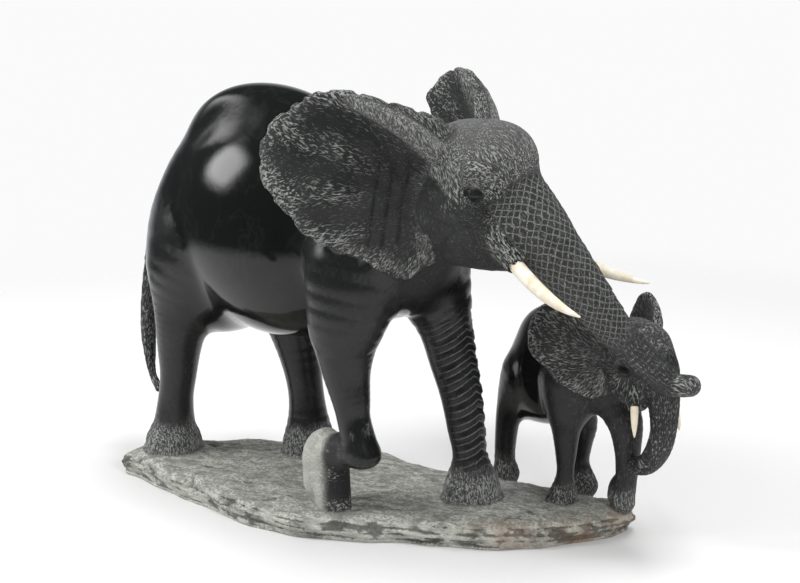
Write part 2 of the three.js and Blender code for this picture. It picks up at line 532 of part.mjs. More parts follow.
// Collapses the edge that costs least by the quadrics of its planes, until few faces are left.
function simplify({ points, faces }, target) {
  const at = Float64Array.from(points);
  const count = at.length / 3;
  const quadrics = new Float64Array(count * 10);
  const around = Array.from({ length: count }, () => []);
  const stamp = new Int32Array(count);
  const mark = new Int32Array(count);
  let marked = 0;
  // The normal of a face, its length twice the area, with vertex v moved to q if given.
  const n = [0, 0, 0];
  const corner = (v, moved, q, k) => (v === moved ? q[k] : at[3 * v + k]);
  const normalOf = ([a, b, c], moved, q) => {
    const [ax, ay, az] = [corner(a, moved, q, 0), corner(a, moved, q, 1), corner(a, moved, q, 2)];
    const [ux, uy, uz] = [corner(b, moved, q, 0) - ax, corner(b, moved, q, 1) - ay, corner(b, moved, q, 2) - az];
    const [vx, vy, vz] = [corner(c, moved, q, 0) - ax, corner(c, moved, q, 1) - ay, corner(c, moved, q, 2) - az];
    n[0] = uy * vz - uz * vy;
    n[1] = uz * vx - ux * vz;
    n[2] = ux * vy - uy * vx;
    return n;
  };
  faces.forEach((face, i) => {
    const [x, y, z] = normalOf(face);
    const length = Math.hypot(x, y, z) || 1e-12;
    const [a, b, c] = [x / length, y / length, z / length];
    const d = -(a * at[3 * face[0]] + b * at[3 * face[0] + 1] + c * at[3 * face[0] + 2]);
    const w = Math.sqrt(length);
    const q = [a * a, a * b, a * c, a * d, b * b, b * c, b * d, c * c, c * d, d * d];
    for (const v of face) {
      around[v].push(i);
      for (let k = 0; k < 10; k++) quadrics[10 * v + k] += q[k] * w;
    }
  });
  // A heap of edges, cheapest first.
  const heap = [];
  const push = (item) => {
    let i = heap.length;
    heap.push(item);
    while (i > 0) {
      const up = (i - 1) >> 1;
      if (heap[up].cost <= item.cost) break;
      heap[i] = heap[up];
      i = up;
    }
    heap[i] = item;
  };
  const pop = () => {
    const top = heap[0];
    const item = heap.pop();
    const size = heap.length;
    let i = 0;
    while (size) {
      let down = 2 * i + 1;
      if (down >= size) break;
      if (down + 1 < size && heap[down + 1].cost < heap[down].cost) down++;
      if (heap[down].cost >= item.cost) break;
      heap[i] = heap[down];
      i = down;
    }
    if (size) heap[i] = item;
    return top;
  };
  const q = new Float64Array(10);
  const consider = (a, b) => {
    for (let k = 0; k < 10; k++) q[k] = quadrics[10 * a + k] + quadrics[10 * b + k];
    const [mx, my, mz] = [0, 1, 2].map((k) => (at[3 * a + k] + at[3 * b + k]) / 2);
    const soft = 0.02 * (q[0] + q[4] + q[7]) + 1e-9;
    const [m0, m1, m2, m4, m5, m7] = [q[0] + soft, q[1], q[2], q[4] + soft, q[5], q[7] + soft];
    const [r0, r1, r2] = [soft * mx - q[3], soft * my - q[6], soft * mz - q[8]];
    const [c0, c1, c2] = [m4 * m7 - m5 * m5, m2 * m5 - m1 * m7, m1 * m5 - m2 * m4];
    const det = m0 * c0 + m1 * c1 + m2 * c2;
    const x = (c0 * r0 + c1 * r1 + c2 * r2) / det;
    const y = (c1 * r0 + (m0 * m7 - m2 * m2) * r1 + (m1 * m2 - m0 * m5) * r2) / det;
    const z = (c2 * r0 + (m1 * m2 - m0 * m5) * r1 + (m0 * m4 - m1 * m1) * r2) / det;
    const error =
      q[0] * x * x + 2 * q[1] * x * y + 2 * q[2] * x * z + 2 * q[3] * x + q[4] * y * y +
      2 * q[5] * y * z + 2 * q[6] * y + q[7] * z * z + 2 * q[8] * z + q[9];
    const length = (x - mx) ** 2 + (y - my) ** 2 + (z - mz) ** 2 + 1;
    push({ cost: error + 1e-4 * length, a, b, to: [x, y, z], sa: stamp[a], sb: stamp[b] });
  };
  for (const [a, b, c] of faces) {
    if (a < b) consider(a, b);
    if (b < c) consider(b, c);
    if (c < a) consider(c, a);
  }
  const flips = (v, other, to) => {
    for (const f of around[v]) {
      const face = faces[f];
      if (face.includes(other)) continue;
      const [bx, by, bz] = normalOf(face);
      const [x, y, z] = normalOf(face, v, to);
      const turned = bx * x + by * y + bz * z;
      if (turned < 0.3 * Math.hypot(bx, by, bz) * Math.hypot(x, y, z)) return true;
    }
    return false;
  };
  // The two ends may only share the two vertices across the edge.
  const shared = (a, b) => {
    marked += 2;
    for (const f of around[a]) for (const v of faces[f]) mark[v] = marked - 1;
    let common = 0;
    for (const f of around[b]) {
      for (const v of faces[f]) {
        if (v !== a && v !== b && mark[v] === marked - 1) {
          mark[v] = marked;
          common++;
        }
      }
    }
    return common;
  };
  let left = faces.length;
  while (left > target && heap.length) {
    const { a, b, to, sa, sb } = pop();
    if (stamp[a] !== sa || stamp[b] !== sb) continue;
    if (shared(a, b) !== 2 || flips(a, b, to) || flips(b, a, to)) continue;
    for (let k = 0; k < 3; k++) at[3 * a + k] = to[k];
    for (let k = 0; k < 10; k++) quadrics[10 * a + k] += quadrics[10 * b + k];
    for (const f of around[b]) {
      const face = faces[f];
      if (face.includes(a)) {
        for (const v of face) if (v !== b) around[v].splice(around[v].indexOf(f), 1);
        faces[f] = null;
        left--;
      } else {
        face[face.indexOf(b)] = a;
        around[a].push(f);
      }
    }
    around[b] = [];
    stamp[b] = -1;
    stamp[a]++;
    marked++;
    for (const f of around[a]) {
      for (const v of faces[f]) {
        if (v !== a && mark[v] !== marked) {
          mark[v] = marked;
          consider(a, v);
        }
      }
    }
  }
  const used = new Map();
  const outPoints = [];
  const outFaces = faces.filter(Boolean).map((face) =>
    face.map((v) => {
      if (!used.has(v)) {
        used.set(v, outPoints.length / 3);
        outPoints.push(at[3 * v], at[3 * v + 1], at[3 * v + 2]);
      }
      return used.get(v);
    }),
  );
  return { points: outPoints, faces: outFaces };
}

// A tusk is a curved tapering peg along a quadratic curve from its root to its tip.
function tuskCurve(head, scale, { root, bow, tip }, side, length) {
  const at = ([f, l, u]) => pointIn(head, [f, l * side, u], scale);
  const curve = new THREE.QuadraticBezierCurve3(at(root), at(bow), at(tip));
  const grow = length / curve.getLength();
  for (const p of [curve.v1, curve.v2]) p.sub(curve.v0).multiplyScalar(grow).add(curve.v0);
  return new THREE.QuadraticBezierCurve3(curve.v0, curve.v1, curve.v2);
}

function tube(curve, radii, sides) {
  const points = [];
  const faces = [];
  const across = new THREE.Vector3(0, 0, 1);
  radii.forEach(([t, radius]) => {
    const centre = curve.getPoint(t);
    const along = curve.getTangent(t);
    const u = new THREE.Vector3().crossVectors(across, along).normalize();
    const v = new THREE.Vector3().crossVectors(along, u);
    for (let k = 0; k < sides; k++) {
      const a = (2 * Math.PI * k) / sides;
      const p = centre.clone().addScaledVector(u, radius * Math.cos(a)).addScaledVector(v, radius * Math.sin(a));
      points.push(...p.toArray());
    }
  });
  const rings = radii.length;
  for (let i = 0; i < rings - 1; i++) {
    for (let k = 0; k < sides; k++) {
      const [a, b] = [i * sides + k, i * sides + ((k + 1) % sides)];
      faces.push(a, b, b + sides, a, b + sides, a + sides);
    }
  }
  points.push(...curve.getPoint(radii[0][0]).toArray(), ...curve.getPoint(radii[rings - 1][0]).toArray());
  const [start, end] = [rings * sides, rings * sides + 1];
  for (let k = 0; k < sides; k++) {
    faces.push(start, (k + 1) % sides, k);
    faces.push(end, (rings - 1) * sides + k, (rings - 1) * sides + ((k + 1) % sides));
  }
  return new THREE.BufferGeometry()
    .setAttribute('position', new THREE.Float32BufferAttribute(points, 3))
    .setIndex(faces);
}

const wasm = await Module();
wasm.setup();
const { Manifold, Mesh } = wasm;

function solidOf(geometry) {
  const bare = new THREE.BufferGeometry().setAttribute('position', geometry.attributes.position);
  const merged = mergeVertices(bare.setIndex(geometry.index), 1e-4);
  return new Manifold(
    new Mesh({
      numProp: 3,
      vertProperties: Float32Array.from(merged.attributes.position.array),
      triVerts: Uint32Array.from(merged.index.array),
    }),
  );
}

function geometryOf(solid) {
  const mesh = solid.getMesh();
  const geometry = new THREE.BufferGeometry()
    .setAttribute('position', new THREE.BufferAttribute(Float32Array.from(mesh.vertProperties), 3))
    .setIndex(Array.from(mesh.triVerts));
  return geometry;
}

const coarse = simplify(polygonise(sample([[slab(), undercut()], calfForms(), cowForms()])), stoneFaces);
const rough = new THREE.BufferGeometry()
  .setAttribute('position', new THREE.Float32BufferAttribute(coarse.points, 3))
  .setIndex(coarse.faces.flat());

const cowLeftTusk = { root: [0.13, 0.085, -0.128], bow: [0.25, 0.138, -0.2], tip: [0.37, 0.165, -0.212] };
const cowTusk = { root: [0.13, 0.085, -0.128], bow: [0.238, 0.132, -0.205], tip: [0.342, 0.158, -0.22] };
const calfTusk = { root: [0.19, 0.105, -0.12], bow: [0.235, 0.125, -0.18], tip: [0.252, 0.127, -0.25] };
const tusks = [
  ['mother_tusk_right', cowHead, cowHeight, cowTusk, -1, tuskDiameter, tuskLength],
  ['mother_tusk_left', cowHead, cowHeight, cowLeftTusk, 1, tuskDiameter, leftTuskLength],
  ['calf_tusk_right', calfHead, calfHeight, calfTusk, -1, calfTuskDiameter, calfTuskLength],
  ['calf_tusk_left', calfHead, calfHeight, calfTusk, 1, calfTuskDiameter, calfTuskLength],
];

// Share of the length and share of the thickness, from root to tip.
const tuskTaper = [
  [0, 1], [0.12, 1], [0.3, 0.97], [0.5, 0.86], [0.68, 0.68], [0.84, 0.45], [0.94, 0.26], [1, 0.1],
];
const tuskSides = 14;

// Trim the underside flat, then cut each socket a little wider than its tusk.
const below = 2 * slabLength;
const floor = new THREE.BoxGeometry(below, below, below).translate(0, 0, -below / 2);
let stoneSolid = solidOf(rough).subtract(solidOf(floor));
const ivory = [];
for (const [name, head, scale, shape, side, diameter, length] of tusks) {
  const curve = tuskCurve(head, scale, shape, side, length);
  const r = diameter / 2;
  const peg = tube(curve, tuskTaper.map(([t, k]) => [t, r * k]), tuskSides);
  const before = [-socketClearance / curve.getLength(), r + socketClearance];
  const room = tuskTaper.map(([t, k]) => [t, r * k + socketClearance]);
  const socket = tube(curve, [before, ...room], tuskSides);
  stoneSolid = stoneSolid.subtract(solidOf(socket));
  ivory.push([name, peg]);
}

const darkStone = { color: 0x1c1e1d, roughness: 0.35 };
const ivoryColour = { color: 0xe9dfc6, roughness: 0.5 };
const group = new THREE.Group();
const add = (name, geometry, look) => {
  const mesh = new THREE.Mesh(geometry, new THREE.MeshStandardMaterial(look));
  mesh.name = name;
  group.add(mesh);
};
add('carved_stone', geometryOf(stoneSolid), darkStone);
for (const [name, geometry] of ivory) add(name, geometry, ivoryColour);
export default group;
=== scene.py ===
"""A carved stone elephant cow walking with her calf, dressed for rendering.

The block is one dark polished stone: a copy of the frame's solid is refined, set onto the smooth forms
it was built from, and carved with the fine relief that the chisel left. The four tusks are ivory pegs.
Sizes are in millimetres unless a name says metres.
"""
from __future__ import annotations

import logging
import math
from dataclasses import dataclass
from enum import Enum
from typing import Callable, Optional, Sequence

import bmesh
import bpy
import numpy as np
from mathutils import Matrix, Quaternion, Vector

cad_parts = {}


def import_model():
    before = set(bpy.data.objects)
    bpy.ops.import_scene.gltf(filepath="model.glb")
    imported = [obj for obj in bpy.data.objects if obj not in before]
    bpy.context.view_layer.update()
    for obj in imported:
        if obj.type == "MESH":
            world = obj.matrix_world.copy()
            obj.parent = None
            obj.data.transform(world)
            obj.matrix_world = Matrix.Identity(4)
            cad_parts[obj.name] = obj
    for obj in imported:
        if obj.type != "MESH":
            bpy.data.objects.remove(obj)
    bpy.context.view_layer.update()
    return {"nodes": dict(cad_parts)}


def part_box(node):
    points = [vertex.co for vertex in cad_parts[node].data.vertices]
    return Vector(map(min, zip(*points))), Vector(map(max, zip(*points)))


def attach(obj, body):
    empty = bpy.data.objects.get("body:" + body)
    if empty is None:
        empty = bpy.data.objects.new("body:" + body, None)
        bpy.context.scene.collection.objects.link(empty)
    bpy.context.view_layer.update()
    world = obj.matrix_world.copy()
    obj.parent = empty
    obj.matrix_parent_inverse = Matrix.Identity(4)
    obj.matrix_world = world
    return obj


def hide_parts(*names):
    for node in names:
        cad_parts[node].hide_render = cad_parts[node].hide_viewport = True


log = logging.getLogger("elephants")
Array = np.ndarray
MM = 0.001

COW_HEIGHT = 424.0
CALF_HEIGHT = 208.0
SLAB_LENGTH = 590.0
SLAB_WIDTH = 236.0
SLAB_THICKNESS = 30.0
EAR_THICKNESS = 9.0
CALF_EAR_THICKNESS = 7.0
TUSK_LENGTH = 104.0
LEFT_TUSK_LENGTH = 114.0
CALF_TUSK_LENGTH = 31.0
TUSK_DIAMETER = 15.0
CALF_TUSK_DIAMETER = 8.0
SOCKET_CLEARANCE = 0.35
LATTICE_PITCH = 6.3
JOINT_BLEND = 3.0


@dataclass(frozen=True)
class Axes:
    """An origin and three unit directions: forward, left and up."""

    origin: Array
    forward: Array
    left: Array
    up: Array

    @staticmethod
    def at(origin: Sequence[float], heading: float, pitch: float = 0.0) -> "Axes":
        """Axes at a point, turned about the vertical and then tipped up.

        Args:
            origin: the point, in millimetres.
            heading: turn to the left, in degrees.
            pitch: tip of the forward direction upwards, in degrees.

        Returns:
            The axes.
        """
        turn, tip = math.radians(heading), math.radians(pitch)
        forward = np.array([math.cos(tip) * math.cos(turn), math.cos(tip) * math.sin(turn), math.sin(tip)])
        left = np.array([-math.sin(turn), math.cos(turn), 0.0])
        return Axes(np.array(origin, float), forward, left, np.cross(forward, left))

    def point(self, share: Sequence[float], scale: float = 1.0) -> Array:
        """The point that lies so many shares forward, left and up."""
        f, l, u = (v * scale for v in share)
        return self.origin + self.forward * f + self.left * l + self.up * u

    def local(self, points: Array) -> Array:
        """Forward, left and up distances of points from the origin."""
        return (points - self.origin) @ np.stack([self.forward, self.left, self.up], axis=1)


def smooth_rows(rows: Sequence[Sequence[float]], steps: int, closed: bool = False) -> Array:
    """Points along a Catmull-Rom curve through rows of numbers.

    Args:
        rows: the rows that the curve passes through.
        steps: points per span.
        closed: whether the last row joins the first.

    Returns:
        One row per point.
    """
    known = np.array(rows, float)
    count = len(known)
    spans = count if closed else count - 1
    result = []
    for i in range(spans):
        ids = [(i + k) % count if closed else min(max(i + k, 0), count - 1) for k in (-1, 0, 1, 2)]
        p, q, r, s = known[ids]
        for j in range(steps):
            t = j / steps
            cubic = (3 * q - p - 3 * r + s) * t**3
            result.append(0.5 * (2 * q + (r - p) * t + (2 * p - 5 * q + 4 * r - s) * t * t + cubic))
    if not closed:
        result.append(known[-1])
    return np.array(result)


def smooth_min(a: Array, b: Array, k: float) -> Array:
    """The smaller of two distances, rounded where they are nearly equal."""
    h = np.maximum(k - np.abs(a - b), 0.0)
    return np.minimum(a, b) - h * h / (4.0 * k)


def smooth_step(low: float, high: float, x: Array) -> Array:
    """0 below low, 1 above high and an easy curve between them."""
    t = np.clip((x - low) / (high - low), 0.0, 1.0)
    return t * t * (3.0 - 2.0 * t)


def outline_distance(outline: Array, x: Array, y: Array) -> Array:
    """Signed distance to a closed outline in its plane, negative inside.

    Args:
        outline: corners, one row each.
        x: first coordinates of the points.
        y: second coordinates.

    Returns:
        One distance per point.
    """
    best = np.full(x.shape, np.inf)
    inside = np.zeros(x.shape, bool)
    for (ax, ay), (bx, by) in zip(np.roll(outline, 1, axis=0), outline):
        ex, ey = bx - ax, by - ay
        px, py = x - ax, y - ay
        t = np.clip((px * ex + py * ey) / (ex * ex + ey * ey), 0.0, 1.0)
        best = np.minimum(best, (px - ex * t) ** 2 + (py - ey * t) ** 2)
        if ay != by:
            inside ^= ((ay > y) != (by > y)) & (x < ax + ex * (y - ay) / (by - ay))
    return np.where(inside, -1.0, 1.0) * np.sqrt(best)


class Region(Enum):
    """The places of the block that are finished in their own way."""

    BODY = 0
    LEG = 1
    SHIN = 2
    FOLDED_FOOT = 3
    TAIL = 4
    HEAD = 5
    TRUNK = 6
    EAR = 7
    EYE = 8
    SLAB = 9
    CALF_BODY = 10
    CALF_LEG = 11
    CALF_HEAD = 12
    CALF_TRUNK = 13
    CALF_EAR = 14
    SOCKET = 15


class Form:
    """A signed distance with the box where it matters and the blend that joins it to the rest."""

    region: Region = Region.BODY
    blend: float = 0.0
    cut: bool = False
    low: Array
    high: Array

    def box(self, points: Array, margin: float) -> None:
        """Sets the box round points, grown by a margin."""
        self.low = np.min(points, axis=0) - margin
        self.high = np.max(points, axis=0) + margin

    def distance(self, p: Array) -> Array:
        """Signed distance of points, negative inside."""
        raise NotImplementedError

    def near(self, p: Array) -> Array:
        """Which points lie in the box."""
        return np.all((p >= self.low) & (p <= self.high), axis=1)


class Blob(Form):
    """An ellipsoid on axes, tipped by a pitch."""

    def __init__(self, axes: Axes, scale: float, centre: Sequence[float], radii: Sequence[float],
                 blend: float, pitch: float = 0.0, cut: bool = False) -> None:
        """Keeps the centre, the directions and the radii in millimetres.

        Args:
            axes: the directions that the shares are told in.
            scale: the height that the shares belong to, in millimetres.
            centre: shares forward, left and up.
            radii: shares forward, left and up.
            blend: width of the soft join, in millimetres.
            pitch: tip of the front upwards, in degrees.
            cut: whether the form is taken away.
        """
        tilt = math.radians(pitch)
        self.centre = axes.point(centre, scale)
        forward = axes.forward * math.cos(tilt) + axes.up * math.sin(tilt)
        up = axes.up * math.cos(tilt) - axes.forward * math.sin(tilt)
        self.turn = np.stack([forward, axes.left, up], axis=1)
        self.radii = np.array(radii) * scale
        self.blend, self.cut = blend, cut
        self.box(self.centre[None], self.radii.max() + blend)

    def distance(self, p: Array) -> Array:
        """Signed distance of points, negative inside.

        Args:
            p: points in millimetres.

        Returns:
            One distance per point.
        """
        q = ((p - self.centre) @ self.turn) / self.radii
        k0 = np.linalg.norm(q, axis=1)
        k1 = np.linalg.norm(q / self.radii, axis=1)
        return np.where(k1 < 1e-9, -self.radii.min(), k0 * (k0 - 1.0) / np.maximum(k1, 1e-9))


@dataclass(frozen=True)
class Ribs:
    """Folds across the front of a limb."""

    pitch: float
    depth: float
    start: float
    stop: float


class Limb(Form):
    """A tapering round rod through joints, each a point and a radius in shares of the height."""

    def __init__(self, axes: Axes, scale: float, joints: Sequence[Sequence[float]], blend: float,
                 cut: bool = False, ribs: Optional[Ribs] = None) -> None:
        """Keeps the smooth path in millimetres.

        Args:
            axes: the directions that the shares are told in.
            scale: the height that the shares belong to, in millimetres.
            joints: shares forward, left and up, and a radius, for each joint.
            blend: width of the soft join, in millimetres.
            cut: whether the form is taken away.
            ribs: folds across the front, if it has them.
        """
        rows = [[*axes.point(j[:3], scale), j[3] * scale] for j in joints]
        self.path = smooth_rows(rows, 4)
        self.axes, self.blend, self.cut, self.ribs = axes, blend, cut, ribs
        steps = np.linalg.norm(np.diff(self.path[:, :3], axis=0), axis=1)
        self.sofar = np.concatenate([[0.0], np.cumsum(steps)])
        self.box(self.path[:, :3], max(r[3] for r in rows) + blend)

    @property
    def long(self) -> float:
        """Length of the path."""
        return float(self.sofar[-1])

    def walk(self, p: Array, taper: float = 1.0) -> tuple[Array, Array, Array]:
        """For each point: the distance, the place along the path, and the offset from the path.

        Args:
            p: points in millimetres.
            taper: 1 measures from the tapering skin, 0 from the middle line, where the place runs evenly.

        Returns:
            The distance, the place along the path and the offset from it.
        """
        best = np.full(len(p), np.inf)
        place = np.zeros(len(p))
        offset = np.zeros((len(p), 3))
        for i in range(1, len(self.path)):
            a, b = self.path[i - 1], self.path[i]
            e = b[:3] - a[:3]
            q = p - a[:3]
            t = np.clip(q @ e / (e @ e), 0.0, 1.0)
            q = q - t[:, None] * e
            d = np.sqrt(np.einsum("ij,ij->i", q, q)) - taper * (a[3] + (b[3] - a[3]) * t)
            nearer = d < best
            best[nearer] = d[nearer]
            place[nearer] = self.sofar[i - 1] + t[nearer] * (self.sofar[i] - self.sofar[i - 1])
            offset[nearer] = q[nearer]
        return best, place, offset

    def distance(self, p: Array) -> Array:
        """Signed distance of points, negative inside.

        Args:
            p: points in millimetres.

        Returns:
            One distance per point.
        """
        best, place, q = self.walk(p)
        ribs = self.ribs
        if ribs:
            across = q @ self.axes.left
            ahead = q @ self.axes.forward / (np.linalg.norm(q, axis=1) + 1e-6)
            front = np.clip(ahead + 0.25, 0.0, 1.0)
            place = place - 0.45 * np.abs(across)
            shown = (place > ribs.start * self.long) & (place < ribs.stop * self.long)
            wave = 0.5 + 0.5 * np.cos(2.0 * np.pi * place / ribs.pitch)
            best = best + shown * ribs.depth * front * wave
        return best


class Ear(Form):
    """A thin cupped sheet that stands back and out from the head."""

    def __init__(self, head: Axes, scale: float, root: Sequence[float], spread: float, side: int,
                 thickness: float, cup: float, outline: Sequence[Sequence[float]], blend: float) -> None:
        """Keeps the sheet's own directions and its outline in millimetres.

        Args:
            head: the head's directions.
            scale: the height that the shares belong to, in millimetres.
            root: where the ear starts, in shares.
            spread: how far it stands out, in degrees.
            side: 1 for left and -1 for right.
            thickness: thickness of the sheet, in millimetres.
            cup: how deep it is cupped, as a share.
            outline: shares back and up for each corner.
            blend: width of the soft join, in millimetres.
        """
        turn = math.radians(spread)
        out = head.left * side
        self.origin = head.point(root, scale)
        self.back = -head.forward * math.cos(turn) + out * math.sin(turn)
        self.normal = out * math.cos(turn) + head.forward * math.sin(turn)
        self.up = head.up
        self.scale, self.thickness, self.cup, self.blend = scale, thickness, cup, blend
        self.rim = smooth_rows(np.array(outline) * scale, 3, True)
        flat = self.origin + np.outer(self.rim[:, 0], self.back) + np.outer(self.rim[:, 1], self.up)
        lift = 4.0 * thickness * self.normal
        self.box(np.concatenate([flat - lift, flat + lift]), blend + 2.0)

    def sheet(self, p: Array) -> Array:
        """Back, up and outward distances from the root."""
        return (p - self.origin) @ np.stack([self.back, self.up, self.normal], axis=1)

    def distance(self, p: Array) -> Array:
        """Signed distance of points, negative inside.

        Args:
            p: points in millimetres.

        Returns:
            One distance per point.
        """
        u, v, n = self.sheet(p).T
        s, t = u / (0.4 * self.scale), v / (0.25 * self.scale)
        wave = 0.006 * self.scale * np.sin(4.5 * t + 4.0 * s) * np.maximum(s, 0.0)
        bend = self.scale * (self.cup * s * (1.0 - s) - 0.012 * t * t) + wave
        near_root = np.maximum(0.0, 1.0 - 2.0 * np.maximum(s, 0.0))
        body = np.abs(n - bend) - self.thickness * (0.5 + 0.3 * near_root)
        rim = outline_distance(self.rim, u, v)
        thin = 0.85 * -smooth_min(-body, -rim, self.thickness * 0.6)
        across = np.abs(n) - 4.0 * self.thickness
        return np.where(across > self.thickness, across, thin)


def lumps(x: Array, y: Array, s: float) -> Array:
    """Soft uneven lumps of a given size."""
    along = np.sin(x / s + 1.3 + 0.8 * np.sin(y / s / 1.7))
    return along * np.sin(y / s / 0.83 + 0.6 + 0.7 * np.sin(x / s / 1.3))


SLAB_TURN = 24.0
SLAB_OUTLINE = (
    (-0.51, 0.0), (-0.46, 0.2), (-0.37, 0.3), (-0.25, 0.4), (-0.1, 0.45), (0.0, 0.38), (0.09, 0.27),
    (0.2, 0.24), (0.32, 0.22), (0.42, 0.17), (0.49, 0.09), (0.5, -0.02), (0.44, -0.16), (0.37, -0.3),
    (0.26, -0.42), (0.12, -0.46), (0.0, -0.53), (-0.1, -0.53), (-0.21, -0.43), (-0.31, -0.29),
    (-0.4, -0.18), (-0.47, -0.07),
)


class Slab(Form):
    """The long irregular slab under the feet."""

    def __init__(self) -> None:
        """Lays the outline out in millimetres."""
        axes = Axes.at((0, 0, 0), SLAB_TURN)
        flat = [axes.point((u * SLAB_LENGTH, v * SLAB_WIDTH, 0))[:2] for u, v in SLAB_OUTLINE]
        self.outline = smooth_rows(flat, 4, True)
        self.blend, self.region = 2.0, Region.SLAB
        corners = np.column_stack([self.outline, np.zeros(len(self.outline))])
        ends = np.array([[0, 0, SLAB_THICKNESS + 8.0], [0, 0, -16.0]])
        self.box(np.concatenate([corners, ends]), 8.0)

    def distance(self, p: Array) -> Array:
        """Signed distance of points, negative inside.

        Args:
            p: points in millimetres.

        Returns:
            One distance per point.
        """
        x, y, z = p.T
        rim = outline_distance(self.outline, x, y)
        top = SLAB_THICKNESS + 1.8 * lumps(x, y, 31) + 1.1 * lumps(y, x, 13) - 5.0 * np.exp(rim / 14.0)
        side = rim + 2.6 * lumps(x + 2 * z, y - z, 15) + 0.3 * np.abs(z - SLAB_THICKNESS * 0.45)
        return 0.9 * -smooth_min(-side, -np.maximum(z - top, -12.0 - z), 7.0)


COW = Axes.at((50, -27, SLAB_THICKNESS), 0)
COW_HEAD = Axes.at(COW.point((0.27, 0.035, 0.815), COW_HEIGHT), 13)
CALF = Axes.at((210, 107, SLAB_THICKNESS), -15)
CALF_HEAD = Axes.at(CALF.point((0.36, 0.04, 0.79), CALF_HEIGHT), -22, -8)

COW_EAR = (
    (0.38, 0.1), (0.376, 0.04), (0.354, -0.005), (0.304, -0.056), (0.274, -0.09),
    (0.221, -0.119), (0.143, -0.146), (0.064, -0.183), (0.02, -0.2), (-0.02, -0.16),
    (-0.03, -0.07), (-0.045, 0.03), (-0.085, 0.12), (-0.07, 0.165), (-0.018, 0.193),
    (0.042, 0.217), (0.077, 0.226), (0.128, 0.24), (0.184, 0.249), (0.227, 0.246),
    (0.275, 0.224), (0.323, 0.187), (0.36, 0.148),
)
# The left ear reaches further back at its upper corner and less far below it.
COW_LEFT_EAR = tuple((u * (1.07 if v > 0.12 else 0.93) if u > 0.25 else u, v) for u, v in COW_EAR)
CALF_EAR = (
    (0.4, 0.05), (0.393, -0.007), (0.371, -0.063), (0.31, -0.1), (0.25, -0.13),
    (0.189, -0.16), (0.112, -0.19), (0.026, -0.217), (-0.03, -0.2), (-0.06, -0.1),
    (-0.07, 0.05), (-0.03, 0.17), (0.05, 0.22), (0.151, 0.243), (0.257, 0.235),
    (0.335, 0.19), (0.38, 0.12),
)
COW_LEGS = {
    "right_hind": (
        (-0.57, -0.09, 0.58, 0.13), (-0.612, -0.115, 0.44, 0.088), (-0.622, -0.125, 0.358, 0.07),
        (-0.635, -0.125, 0.285, 0.058), (-0.642, -0.125, 0.212, 0.049), (-0.655, -0.125, 0.141, 0.047),
        (-0.664, -0.125, 0.06, 0.058), (-0.668, -0.125, 0.0, 0.082),
    ),
    "left_hind": (
        (-0.5, 0.085, 0.56, 0.14), (-0.445, 0.097, 0.4, 0.088), (-0.42, 0.099, 0.304, 0.062),
        (-0.392, 0.099, 0.195, 0.048), (-0.38, 0.099, 0.105, 0.052), (-0.375, 0.099, 0.0, 0.078),
    ),
    "left_front": (
        (0.03, 0.1, 0.6, 0.12), (0.075, 0.13, 0.45, 0.074), (0.104, 0.137, 0.344, 0.061),
        (0.131, 0.137, 0.263, 0.054), (0.149, 0.137, 0.178, 0.049), (0.163, 0.137, 0.1, 0.046),
        (0.17, 0.137, 0.0, 0.08),
    ),
    "right_front": (
        (0.02, -0.12, 0.62, 0.13), (0.012, -0.149, 0.489, 0.096), (0.006, -0.149, 0.438, 0.079),
        (0.009, -0.149, 0.362, 0.06), (0.025, -0.149, 0.289, 0.047), (0.034, -0.149, 0.24, 0.041),
        (0.055, -0.149, 0.175, 0.044),
    ),
}
CALF_LEGS = {
    "right_hind": (
        (-0.4, -0.078, 0.56, 0.118), (-0.448, -0.108, 0.44, 0.086), (-0.469, -0.126, 0.36, 0.07),
        (-0.488, -0.131, 0.246, 0.06), (-0.497, -0.133, 0.093, 0.056), (-0.485, -0.13, 0.01, 0.072),
    ),
    "left_hind": (
        (-0.25, 0.09, 0.52, 0.12), (-0.13, 0.1, 0.36, 0.075), (-0.13, 0.1, 0.24, 0.052),
        (-0.145, 0.1, 0.124, 0.048), (-0.115, 0.104, 0.01, 0.075),
    ),
    "right_front": (
        (0.0, -0.09, 0.62, 0.13), (0.0, -0.1, 0.49, 0.105), (0.0, -0.105, 0.383, 0.073),
        (0.002, -0.105, 0.25, 0.053), (0.0, -0.106, 0.14, 0.046), (-0.015, -0.11, 0.0, 0.085),
    ),
    "left_front": (
        (0.14, 0.07, 0.6, 0.12), (0.231, 0.087, 0.457, 0.09), (0.25, 0.092, 0.339, 0.07),
        (0.254, 0.093, 0.261, 0.062), (0.25, 0.09, 0.152, 0.055), (0.235, 0.09, 0.03, 0.06),
    ),
}
COW_TRUNK = (
    (0.294, 0.042, 0.837, 0.102), (0.347, 0.057, 0.8, 0.094), (0.418, 0.064, 0.74, 0.084),
    (0.478, 0.085, 0.672, 0.07), (0.52, 0.112, 0.614, 0.06), (0.551, 0.148, 0.552, 0.051),
    (0.58, 0.189, 0.49, 0.042), (0.612, 0.226, 0.437, 0.037), (0.645, 0.25, 0.4, 0.034),
    (0.68, 0.264, 0.375, 0.03), (0.727, 0.269, 0.38, 0.026),
)
CALF_TRUNK = (
    (0.46, 0.05, 0.84, 0.12), (0.5, 0.062, 0.8, 0.11), (0.537, 0.074, 0.683, 0.085),
    (0.547, 0.077, 0.519, 0.066), (0.519, 0.069, 0.399, 0.063), (0.451, 0.061, 0.308, 0.054),
    (0.363, 0.058, 0.269, 0.045),
)
COW_TAIL = (
    (-0.77, 0, 0.7, 0.02), (-0.832, -0.005, 0.6, 0.024), (-0.868, -0.008, 0.49, 0.022),
    (-0.887, -0.01, 0.38, 0.022), (-0.894, -0.01, 0.3, 0.024), (-0.884, -0.02, 0.22, 0.02),
    (-0.85, -0.04, 0.15, 0.012), (-0.8, -0.06, 0.12, 0.012),
)
